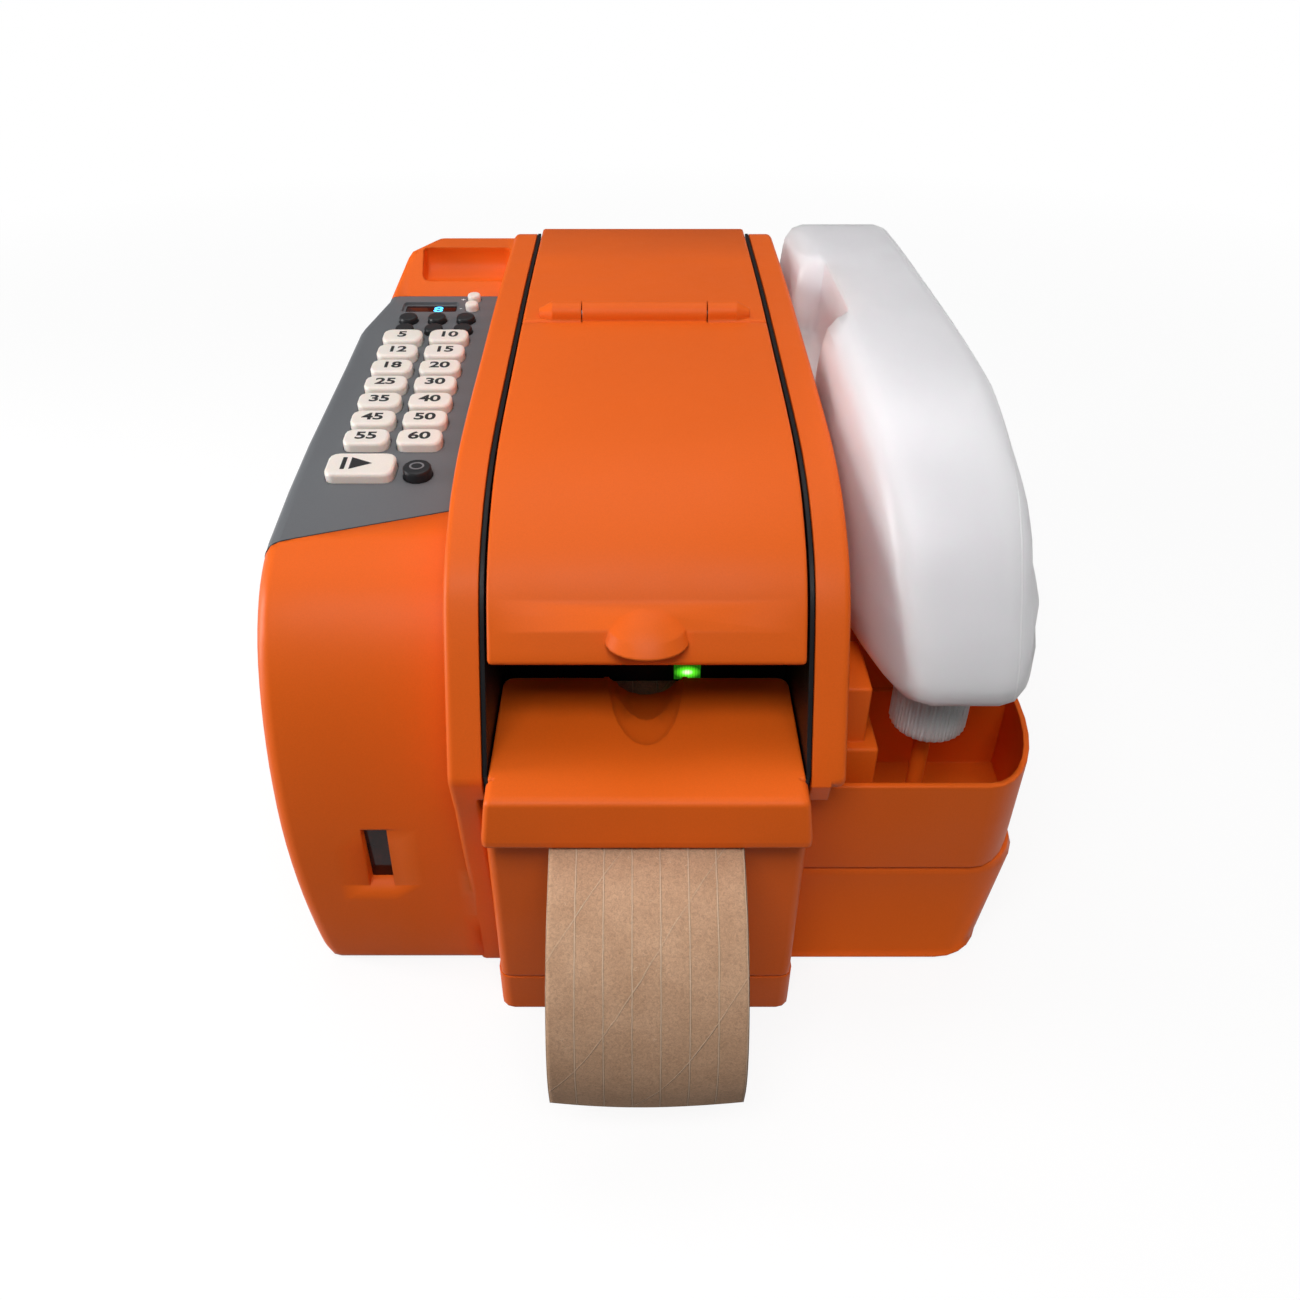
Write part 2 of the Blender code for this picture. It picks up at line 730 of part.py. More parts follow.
def make_keyboard():
    """The grey panel that rolls over the housing's edge, its buttons and its display window."""
    panel = side_loft("keyboard_panel", "panel_grey")
    boolean(panel, panel_region("panel_space", 0.0), "INTERSECT")
    for name, x, y, shape, rise, edge, look in key_list():
        key = loft(name, key_rings(shape(0.0), -KEY_SINK, rise, edge), look)
        key.matrix_world = panel_frame(x, y)
        rings = [[(u, v, w) for u, v in shape(KEY_FIT)] for w in (-OVERRUN, OVERRUN)]
        hole = loft(name + "_hole", rings, look)
        hole.matrix_world = panel_frame(x, y)
        cut(panel, hole)
    sunk = key_outline(DISPLAY_WIDTH, DISPLAY_DEPTH, DISPLAY_CORNER)
    through = key_outline(DISPLAY_WIDTH, DISPLAY_DEPTH, DISPLAY_CORNER, -DISPLAY_LEDGE)
    steps = (("display_recess", sunk, -DISPLAY_SUNK), ("display_hole", through, -OVERRUN))
    for name, outline, floor in steps:
        recess = prism(name, outline, "Z", floor, OVERRUN, "panel_grey")
        recess.matrix_world = panel_frame(DISPLAY_INSET - HALF_WIDTH, DISPLAY_Y)
        cut(panel, recess)
    lens = key_outline(DISPLAY_WIDTH, DISPLAY_DEPTH, DISPLAY_CORNER, -DISPLAY_LEDGE - GAP)
    window = prism("display_window", lens, "Z", -DISPLAY_SUNK - DISPLAY_WALL, -DISPLAY_SUNK, "lens_dark")
    window.matrix_world = panel_frame(DISPLAY_INSET - HALF_WIDTH, DISPLAY_Y)


def bezel_outline(foot):
    """Side view of a bezel: its curve, its nose and its foot line."""
    line = top_curve()
    nose = line[-1]
    rear = arc((REAR_Y - REAR_RADIUS, TOP_HEIGHT - REAR_RADIUS), REAR_RADIUS, 0, 90, 4)
    return rear[:-1] + line + [(nose[0] - BEZEL_TIP_DROP / 4, nose[1] - BEZEL_TIP_DROP)] + foot


def bezel(name, side, inner_x, foot, look, outer_soft=True):
    outline = bezel_outline(foot)
    lows = sorted((side * inner_x, side * BEZEL_OUTER_X))
    made = prism(name, outline, "X", lows[0], lows[1], look)
    if outer_soft:
        soften(made, BEZEL_SOFT_EDGE, 3, 50)
    return made


def make_left_housing():
    """Housing of the electronics, in one piece with the left bezel and the carry grip."""
    housing = side_loft("left_housing", "case_orange")
    foot = [(TOP_LENGTH * y, TOP_HEIGHT * z) for y, z in BEZEL_FOOT_SHARES]
    foot += [(PANEL_FRONT_Y - SIDE_DEPTH * y, TOP_HEIGHT * z) for y, z in FORM_FOOT_SHARES]
    foot.append((REAR_Y, 0.0))
    lower = bezel("left_bezel_form", -1, HOUSING_INNER_X, foot, "case_orange")
    inner = prism(
        "left_bezel_rim", bezel_outline([(RIM_FRONT_Y, PLATE_STEP_Z), (REAR_Y, PLATE_STEP_Z)]), "X",
        -BEZEL_OUTER_X + BEZEL_SOFT_EDGE * 2, -BEZEL_INNER_X, "case_orange",
    )
    join(housing, lower, inner)
    cut(housing, panel_region("panel_seat", GAP))
    bay = [
        (BAY_FRONT_Y, panel_z(BAY_FRONT_Y) - BAY_FLOOR), (BAY_REAR_Y, panel_z(BAY_REAR_Y) - BAY_FLOOR),
        (BAY_REAR_Y, HUMP_Z + OVERRUN), (BAY_FRONT_Y, HUMP_Z + OVERRUN),
    ]
    bay_form = prism("electronics_bay", bay, "X", -HALF_WIDTH, -BAY_INNER_X, "case_orange")
    cut(housing, boolean(bay_form, beside_left("bay_side", BAY_SIDE_WALL, 0.0), "INTERSECT"))
    grip = arc((GRIP_Y, GRIP_Z), GRIP_RADIUS, 0, 345, 23)
    grip_end = GRIP_INSET - HALF_WIDTH
    grip_cut = prism("grip_hollow", grip, "X", grip_end, -BEZEL_OUTER_X - GAP, "case_orange")
    cut(housing, soften(grip_cut, GRIP_RADIUS / 3, 2, 50))
    sensor = box(
        "sensor_opening", (SENSOR_X - SENSOR_HALF, SENSOR_X + SENSOR_HALF),
        (PANEL_FRONT_Y - SIDE_DEPTH - OVERRUN, SENSOR_BACK_Y), (SENSOR_LOW_Z, SENSOR_HIGH_Z), "case_orange",
    )
    cut(housing, sensor)
    box(
        "sensor_window", (SENSOR_X - SENSOR_HALF + GAP, SENSOR_X + SENSOR_HALF - GAP),
        (SENSOR_BACK_Y - GAP - SENSOR_WALL, SENSOR_BACK_Y - GAP),
        (SENSOR_LOW_Z + GAP, SENSOR_HIGH_Z - GAP), "lens_dark",
    )
    board_low = BAY_FLOOR - GAP
    front = BAY_FRONT_Y + BOARD_MARGIN
    rear = BAY_REAR_Y - BOARD_MARGIN
    board = [
        (front, panel_z(front) - board_low), (rear, panel_z(rear) - board_low),
        (rear, panel_z(rear) - board_low + BOARD_WALL), (front, panel_z(front) - board_low + BOARD_WALL),
    ]
    board_left = BOARD_INSET - HALF_WIDTH
    prism("circuit_board", board, "X", board_left, -BAY_INNER_X - BOARD_MARGIN, "board_green")


def make_plates():
    """The two black side plates that carry the shafts and show as a black line along the covers."""
    for name, side in (("side_plate_left", -1), ("side_plate_right", 1)):
        line = beside(top_curve(), -PLATE_INSET)
        line = [point for point in line if point[0] < BASE_REAR_Y - PLATE_INSET]
        outline = [(BASE_REAR_Y - PLATE_INSET, BASE_HEIGHT + GAP)]
        outline += [(BASE_REAR_Y - PLATE_INSET, line[0][1])] + line
        outline += [
            (line[-1][0] + PLATE_WALL, PLATE_STEP_Z), (PLATE_FRONT_Y, PLATE_STEP_Z),
            (PLATE_FRONT_Y, BASE_HEIGHT + GAP),
        ]
        xs = sorted((side * PLATE_INNER_X, side * (PLATE_INNER_X + PLATE_WALL)))
        plate = prism(name, outline, "X", xs[0], xs[1], "plate_black")
        ends = sorted((side * (LID_HALF - LID_WALL), side * (PLATE_INNER_X + PLATE_WALL / 2)))
        lid_pin = rod(
            name + "_lid_pin", "X", (LID_AXIS_Y, LID_AXIS_Z), LID_PIN_RADIUS, ends[0], ends[1],
            "plate_black", 12,
        )
        join(plate, lid_pin)


def make_base():
    """Pan under the middle section, with rounded front corners."""
    corners = [BASE_CORNER, BASE_CORNER, 0, 0]
    outer = rounded((-BASE_HALF, BASE_FRONT_Y), (BASE_HALF, BASE_REAR_Y), corners)
    base = prism("base_pan", outer, "Z", 0.0, BASE_HEIGHT, "case_orange")
    inner_low = (-BASE_HALF + BASE_WALL, BASE_FRONT_Y + BASE_WALL)
    inner_high = (BASE_HALF - BASE_WALL, BASE_REAR_Y - BASE_WALL)
    inner = rounded(inner_low, inner_high, [BASE_CORNER - BASE_WALL / 2] * 4)
    hollow = prism("base_hollow", inner, "Z", BASE_FLOOR, BASE_HEIGHT + OVERRUN, "case_orange")
    return cut(base, hollow)


def cover_shell(name, front_y, rear_y, rear_foot):
    """A cover that follows the top curve, with skirts at its sides."""
    line = beside(top_curve(), COVER_PROUD)
    outer = clipped(line, front_y, rear_y)
    inner = list(reversed(beside(outer, -COVER_SKIRT)))
    rear_end = rear_y - COVER_WALL
    inside = clipped(line, front_y + COVER_WALL, rear_end)
    cavity_outer = beside(inside, -COVER_WALL)
    cavity_inner = list(reversed(beside(inside, -COVER_SKIRT - OVERRUN / 4)))
    if rear_foot is not None:
        rear = REAR_Y - BASE_WALL / 2
        top_z = outer[0][1]
        outer = [(rear, rear_foot), (rear, top_z - COVER_WALL), (rear - COVER_WALL, top_z)] + outer[1:]
        inner = inner[:-1] + [(rear - COVER_SKIRT, top_z - COVER_SKIRT), (rear - COVER_SKIRT, rear_foot)]
        cavity_rear = [(rear_end, rear_foot - OVERRUN), (rear_end, top_z - COVER_WALL * 2)]
        cavity_outer = cavity_rear + cavity_outer[1:]
        low_z = top_z - COVER_SKIRT - OVERRUN / 4
        deep_y = rear - COVER_SKIRT - OVERRUN / 4
        cavity_inner = cavity_inner[:-1] + [(deep_y, low_z), (deep_y, rear_foot - OVERRUN)]
    shell = prism(name, outer + inner, "X", -COVER_HALF, COVER_HALF, "case_orange")
    soften(shell, COVER_EDGE, 2, 60)
    half = COVER_HALF - COVER_WALL
    return cut(shell, prism(name + "_hollow", cavity_outer + cavity_inner, "X", -half, half, "case_orange"))


def make_covers():
    """The fixed rear cover, the hinged access door, their hinge and its pin."""
    rear = cover_shell("rear_cover", DOOR_REAR_Y + RUNNING_GAP, REAR_Y - BASE_WALL / 2, REAR_COVER_FOOT_Z)
    door = cover_shell("access_door", DOOR_FRONT_Y, DOOR_REAR_Y, None)
    centre = (HINGE_Y, HINGE_Z)
    notch_x = BARREL_HALF + RUNNING_GAP
    notch = box(
        "barrel_notch", (-notch_x, notch_x), (DOOR_REAR_Y - OVERRUN, HINGE_Y + KNUCKLE_RADIUS + RUNNING_GAP),
        (HINGE_Z - KNUCKLE_RADIUS - OVERRUN, HINGE_Z + OVERRUN), "case_orange",
    )
    cut(rear, notch)
    for side in (-1, 1):
        rings = []
        for x, radius in (
            (notch_x, KNUCKLE_RADIUS), (KNUCKLE_OUTER_X - KNUCKLE_TAPER, KNUCKLE_RADIUS),
            (KNUCKLE_OUTER_X, KNUCKLE_RADIUS - KNUCKLE_TAPER / 2),
        ):
            rings.append([(side * x, y, z) for y, z in arc(centre, radius, 0, 345, 23)])
        join(rear, loft(f"knuckle_{side}", rings, "case_orange"))
    barrel = rod("barrel", "X", centre, KNUCKLE_RADIUS, -BARREL_HALF, BARREL_HALF, "case_orange", 24)
    web_z = HINGE_Z - HINGE_WEB / 2
    web = box(
        "barrel_web", (-BARREL_HALF, BARREL_HALF), (DOOR_REAR_Y - HINGE_WEB, HINGE_Y),
        (web_z - HINGE_WEB, web_z), "case_orange",
    )
    join(door, barrel, web)
    pin_hole = PIN_RADIUS + PIN_FIT
    reach = KNUCKLE_OUTER_X - KNUCKLE_TAPER
    for owner, number in ((rear, 1), (door, 2)):
        hole = rod(f"pin_hole_{number}", "X", centre, pin_hole, -reach, reach, "case_orange", 16)
        cut(owner, hole)
    rod("hinge_pin", "X", centre, PIN_RADIUS, -reach + GAP, reach - GAP, "steel", 12)
    door_line = clipped(beside(top_curve(), COVER_PROUD), DOOR_FRONT_Y, DOOR_REAR_Y)
    upright = [(z, y) for y, z in door_line if y < (DOOR_FRONT_Y + DOOR_REAR_Y) / 2]
    rings = []
    for angle in (0, 25, 50, 72, 88):
        turn = math.radians(angle)
        height = upright[-1][0] + TAB_RISE + TAB_HEIGHT * math.sin(turn)
        root = height_at(upright, height) + COVER_WALL / 2
        half_circle = arc((0.0, 0.0), TAB_RADIUS * math.cos(turn), 0, 180, 12)
        rings.append([(u, root - v * TAB_DEPTH / TAB_RADIUS, height) for u, v in half_circle])
    join(door, loft("finger_tab", rings, "case_orange"))
    put_origin(door, (0.0, HINGE_Y, HINGE_Z))


def make_heater_cover():
    """The flat cover over the tape outlet, with its flared lip, finger scoop and heater plate."""
    outline = rounded((-LID_HALF, LIP_START_Y), (LID_HALF, LID_BACK_Y), [0, 0, LID_EDGE * 2, LID_EDGE * 2])
    lid = prism("heater_cover", outline, "Z", LID_TOP_Z - LID_SKIRT, LID_TOP_Z, "case_orange")
    rings = []
    for z, half, front in (
        (LID_LIP_Z, LID_HALF + LIP_FLARE, LID_FRONT_Y - LIP_RUN),
        (LID_LIP_Z + LID_WALL, LID_HALF + LIP_FLARE, LID_FRONT_Y - LIP_RUN),
        (LID_TOP_Z - LID_EDGE, LID_HALF + LIP_FLARE / 4, LID_FRONT_Y - LID_EDGE / 2),
        (LID_TOP_Z - LID_EDGE / 3, LID_HALF - LID_EDGE / 4, LID_FRONT_Y),
        (LID_TOP_Z, LID_HALF - LID_EDGE, LID_FRONT_Y + LID_EDGE),
    ):
        ring = rounded((-half, front), (half, LIP_START_Y - GAP), [LID_EDGE, LID_EDGE, 0, 0])
        rings.append([(x, y, z) for x, y in ring])
    lip = loft("lip_form", rings, "case_orange")
    soften(lid, LID_EDGE / 2, 2, 60)
    bridge = box(
        "lip_bridge", (-LID_HALF + LID_EDGE, LID_HALF - LID_EDGE),
        (LIP_START_Y - LID_WALL * 2, LIP_START_Y + LID_WALL * 2), (LID_TOP_Z - LID_WALL, LID_TOP_Z),
        "case_orange",
    )
    join(lid, lip, bridge)
    half = LID_HALF - LID_WALL
    hollow = box(
        "lid_hollow", (-half, half), (LID_FRONT_Y + LID_WALL, LID_BACK_Y - LID_WALL),
        (LID_LIP_Z - OVERRUN, LID_TOP_Z - LID_WALL), "case_orange",
    )
    cut(lid, hollow)
    bowl = scoop_form("scoop_bowl", SCOOP_RADIUS, SCOOP_LENGTH, SCOOP_DEPTH, SCOOP_WALL)
    join(bowl, scoop_form("pocket_bowl", POCKET_RADIUS, POCKET_LENGTH, POCKET_DEPTH, SCOOP_WALL))
    trim = box(
        "bowl_trim", (-LID_HALF, LID_HALF), (LID_BACK_Y, LID_BACK_Y + SCOOP_LENGTH + OVERRUN),
        (LID_LIP_Z - OVERRUN, LID_TOP_Z + OVERRUN), "case_orange",
    )
    ceiling = box(
        "bowl_ceiling", (-LID_HALF, LID_HALF), (LID_FRONT_Y, LID_BACK_Y + SCOOP_LENGTH + OVERRUN),
        (LID_TOP_Z, LID_TOP_Z + OVERRUN * 2), "case_orange",
    )
    cut(bowl, trim, ceiling)
    join(lid, bowl)
    cut(lid, scoop_form("scoop_hollow", SCOOP_RADIUS, SCOOP_LENGTH, SCOOP_DEPTH, 0.0))
    cut(lid, scoop_form("pocket_hollow", POCKET_RADIUS, POCKET_LENGTH, POCKET_DEPTH, 0.0))
    axis = (LID_AXIS_Y, LID_AXIS_Z)
    for side in (-1, 1):
        ends = sorted((side * (half - LID_WALL), side * (LID_HALF + OVERRUN)))
        radius = LID_PIN_RADIUS + PIN_FIT
        cut(lid, rod(f"lid_pin_hole_{side}", "X", axis, radius, ends[0], ends[1], "case_orange", 12))
    plate_top = LID_TOP_Z - LID_WALL - GAP
    plate = box(
        "heater_plate", (-HEATER_HALF, HEATER_HALF), (HEATER_FRONT_Y, HEATER_BACK_Y),
        (plate_top - HEATER_THICK, plate_top), "steel",
    )
    for piece in (lid, plate):
        put_origin(piece, (0.0, LID_AXIS_Y, LID_AXIS_Z))


def scoop_form(name, radius, length, depth, wall):
    """A bowl that runs from the lid's rear edge to a point, open at the lid's top, larger by a wall."""
    rings = []
    for angle in (-80, -55, -30, -8, 8):
        turn = math.radians(angle)
        height = LID_TOP_Z + (depth + wall) * math.sin(turn)
        ring = []
        for u, v in arc((0.0, 0.0), math.cos(turn), 0, 345, 23):
            ring.append((u * (radius + wall), LID_BACK_Y + v * (length + wall), height))
        rings.append(ring)
    return loft(name, rings, "case_orange")


def make_front_housing():
    """Box of the water tank under the lip, with the tank and its brush."""
    corners = [FRONT_CORNER, FRONT_CORNER, 0, 0]
    bottom = BASE_HEIGHT + FRONT_SEAM
    outer = rounded((-FRONT_HALF, BASE_FRONT_Y), (FRONT_HALF, FRONT_REAR_Y), corners)
    housing = prism("front_housing", outer, "Z", bottom, FRONT_TOP_Z, "case_orange")
    inner = rounded(
        (-FRONT_HALF + FRONT_WALL, BASE_FRONT_Y + FRONT_WALL),
        (FRONT_HALF - FRONT_WALL, FRONT_REAR_Y - FRONT_WALL), [FRONT_CORNER - FRONT_WALL] * 4,
    )
    floor = bottom + FRONT_WALL
    cut(housing, prism("front_hollow", inner, "Z", floor, FRONT_TOP_Z + OVERRUN, "case_orange"))
    foot_half = BASE_HALF - BASE_WALL - GAP * 2
    foot_low = (-foot_half, BASE_FRONT_Y + BASE_WALL + GAP * 2)
    foot = rounded(foot_low, (foot_half, FRONT_REAR_Y), [FRONT_CORNER] * 4)
    join(housing, prism("front_foot", foot, "Z", BASE_FLOOR + GAP, bottom + FRONT_WALL / 2, "case_orange"))
    tank_bottom = floor + TANK_FEET_Z
    tank = box(
        "water_tank", (-TANK_HALF, TANK_HALF), (TANK_FRONT_Y, TANK_REAR_Y), (tank_bottom, TANK_TOP_Z),
        "tank_black",
    )
    soften(tank, TANK_WALL, 2, 60)
    well = box(
        "tank_well", (-TANK_HALF + TANK_WALL, TANK_HALF - TANK_WALL),
        (TANK_FRONT_Y + TANK_WALL, TANK_REAR_Y - TANK_WALL), (tank_bottom + TANK_WALL, TANK_TOP_Z + OVERRUN),
        "tank_black",
    )
    cut(tank, well)
    brush_bottom = tank_bottom + TANK_WALL + GAP
    brush = box(
        "brush", (-BRUSH_HALF, BRUSH_HALF), (BRUSH_FRONT_Y, BRUSH_REAR_Y),
        (brush_bottom, brush_bottom + BRUSH_BLOCK), "tank_black",
    )
    strip = smooth(list(STRIP_RUN), CURVE_STEPS)
    for i in range(BRUSH_TUFTS):
        pitch = 2 * BRUSH_HALF / BRUSH_TUFTS
        x = -BRUSH_HALF + pitch * (i + 0.5)
        half = BRUSH_TUFT / 2
        rear = BRUSH_REAR_Y - half
        front = BRUSH_FRONT_Y + half
        outline = [
            (front, brush_bottom + BRUSH_BLOCK - half), (rear, brush_bottom + BRUSH_BLOCK - half),
            (rear, height_at(strip, rear) - TAPE_THICK / 2 - BRUSH_CLEAR),
            (front, height_at(strip, front) - TAPE_THICK / 2 - BRUSH_CLEAR),
        ]
        join(brush, prism(f"tuft_{i}", outline, "X", x - half, x + half, "tank_black"))


def height_at(line, y):
    """Height of a line that runs towards -Y, at a place along it."""
    if y > line[0][0]:
        return line[0][1]
    for (y0, z0), (y1, z1) in zip(line, line[1:]):
        if y1 <= y <= y0:
            return z0 + (z1 - z0) * (y0 - y) / (y0 - y1)
    return line[-1][1]


def ribbon(name, line, look):
    """The paper tape along a line of (y, z)."""
    upper = beside(line, TAPE_THICK / 2)
    lower = beside(line, -TAPE_THICK / 2)
    return prism(name, upper + list(reversed(lower)), "X", -TAPE_HALF, TAPE_HALF, look)


def make_tape():
    """The roll, the web that runs from it to the shear, and the strip that was cut off."""
    outer = arc((ROLL_Y, ROLL_Z), ROLL_RADIUS, 0, 360 - 360 / ROLL_SIDES, ROLL_SIDES - 1)
    roll = prism("tape_roll", outer, "X", -TAPE_HALF, TAPE_HALF, "kraft")
    core_half = TAPE_HALF + OVERRUN
    cut(roll, rod("roll_core", "X", (ROLL_Y, ROLL_Z), CORE_RADIUS, -core_half, core_half, "kraft", 24))
    put_origin(roll, (0.0, ROLL_Y, ROLL_Z))
    reach = ROLL_RADIUS + GAP + TAPE_THICK
    to_roll = Vector((ROLL_Y - GUIDE_REAR_Y, ROLL_Z - TAPE_PATH_Z))
    span = to_roll.length
    lean = math.atan2(to_roll.y, to_roll.x) + math.asin(reach / span)
    run = math.sqrt(span * span - reach * reach)
    touch = (GUIDE_REAR_Y + run * math.cos(lean), TAPE_PATH_Z + run * math.sin(lean))
    bend = (GUIDE_REAR_Y - (GUIDE_REAR_Y - FEED_Y) / 3, TAPE_PATH_Z)
    lift = (GUIDE_REAR_Y + run * math.cos(lean) / 3, TAPE_PATH_Z + run * math.sin(lean) / 3)
    web = [
        touch, lift, (GUIDE_REAR_Y, TAPE_PATH_Z + GAP * 3), bend, (FEED_Y, TAPE_PATH_Z),
        (CUT_Y + CUT_GAP / 2, TAPE_PATH_Z),
    ]
    ribbon("tape_web", smooth(web, CURVE_STEPS), "kraft")
    ribbon("tape_strip", smooth(list(STRIP_RUN + STRIP_CURL), CURVE_STEPS), "kraft")


def make_rollers():
    """The rollers that carry the tape roll, the feed wheel, the pressure roller and the motor."""
    reach = ROLL_RADIUS + GAP + CRADLE_ROLLER_RADIUS
    drop = math.sqrt(reach * reach - CRADLE_ROLLER_OFFSET * CRADLE_ROLLER_OFFSET)
    for name, side in (("basket_roller_front", -1), ("basket_roller_rear", 1)):
        y = ROLL_Y + side * CRADLE_ROLLER_OFFSET
        z = ROLL_Z - drop
        roller = rod(name, "X", (y, z), CRADLE_ROLLER_RADIUS, -ROLLER_HALF, ROLLER_HALF, "steel", 20)
        put_origin(roller, (0.0, y, z))
    shaft_end = PLATE_INNER_X - GAP
    motor_start = shaft_end - MOTOR_LENGTH
    centre = (FEED_Y, FEED_Z)
    feed = rod("feed_wheel", "X", centre, FEED_RADIUS, -FEED_HALF, FEED_HALF, "rubber_black", 32)
    join(feed, rod("feed_shaft", "X", centre, SHAFT_RADIUS, -ROLLER_HALF, motor_start - GAP, "steel", 16))
    put_origin(feed, (0.0, FEED_Y, FEED_Z))
    rod("feed_motor", "X", centre, MOTOR_RADIUS, motor_start, shaft_end, "plate_black", 32)
    press_z = TAPE_PATH_Z + TAPE_THICK / 2 + GAP + PRESS_RADIUS
    centre = (FEED_Y, press_z)
    press = rod("pressure_roller", "X", centre, PRESS_RADIUS, -PRESS_HALF, PRESS_HALF, "rubber_black", 24)
    join(press, rod("pressure_shaft", "X", centre, SHAFT_RADIUS, -ROLLER_HALF, ROLLER_HALF, "steel", 16))
    put_origin(press, (0.0, FEED_Y, press_z))


def make_shear():
    """The fixed lower blade, the moving upper blade and its solenoid."""
    under = TAPE_PATH_Z - TAPE_THICK / 2 - GAP
    rear = CUT_Y + CUT_GAP / 2
    half = PLATE_INNER_X - GAP
    low = under - FIXED_BLADE_HEIGHT
    box("fixed_blade", (-half, half), (rear, rear + FIXED_BLADE_WALL), (low, under), "steel")
    low = TAPE_PATH_Z + BLADE_LIFT
    edge = [
        (-BLADE_HALF, low + BLADE_LIFT), (BLADE_HALF, low), (BLADE_HALF, low + BLADE_HEIGHT),
        (-BLADE_HALF, low + BLADE_HEIGHT),
    ]
    blade = prism("moving_blade", edge, "Y", CUT_Y - BLADE_WALL / 2, CUT_Y + BLADE_WALL / 2, "steel")
    put_origin(blade, (0.0, CUT_Y, low))
    solenoid_low = low + BLADE_HEIGHT / 2
    solenoid_front = CUT_Y + BLADE_WALL / 2 + GAP
    solenoid = box(
        "blade_solenoid", (-SOLENOID_HALF, SOLENOID_HALF), (solenoid_front, solenoid_front + SOLENOID_DEPTH),
        (solenoid_low, solenoid_low + SOLENOID_HEIGHT), "plate_black",
    )
    bracket = box(
        "solenoid_bracket", (-half, half), (solenoid_front, solenoid_front + BRACKET_WALL),
        (solenoid_low + BRACKET_WALL, solenoid_low + BRACKET_HEIGHT), "plate_black",
    )
    join(solenoid, bracket)


def make_lamp():
    """Black bulkhead behind the heater cover, with the green lamp on its front."""
    half = PLATE_INNER_X - GAP
    back = LAMP_BACK_Y
    box(
        "bulkhead", (-half, half), (back, back + BULKHEAD_WALL),
        (TAPE_PATH_Z + BLADE_LIFT, BULKHEAD_TOP_Z), "plate_black",
    )
    lamp_low = LAMP_TOP_Z - LAMP_HEIGHT
    box(
        "ready_lamp", (LAMP_X - LAMP_HALF, LAMP_X + LAMP_HALF), (back - GAP - LAMP_WALL, back - GAP),
        (lamp_low, LAMP_TOP_Z), "lamp_green",
    )


def right_plan(inner_x, outer_x, front_y, rear_y, corner, rear_corner, steps=6):
    return rounded((inner_x, front_y), (outer_x, rear_y), [0, corner, rear_corner, 0], steps)


def tray_plan(inner_x, wall):
    """The tray from above, inset by a wall, with an outer front corner that is longer than wide."""
    front = TRAY_FRONT_Y + wall
    rear = TRAY_REAR_Y - wall
    middle = (TRAY_OUTER_X - TRAY_CORNER, TRAY_FRONT_Y + TRAY_CORNER_LENGTH)
    points = [(inner_x, front)]
    for u, v in arc((0.0, 0.0), 1.0, 270, 360, 8):
        x = middle[0] + u * (TRAY_CORNER - wall)
        points.append((x, middle[1] + v * (TRAY_CORNER_LENGTH - wall)))
    return points + [(TRAY_OUTER_X - wall, rear), (inner_x, rear)]


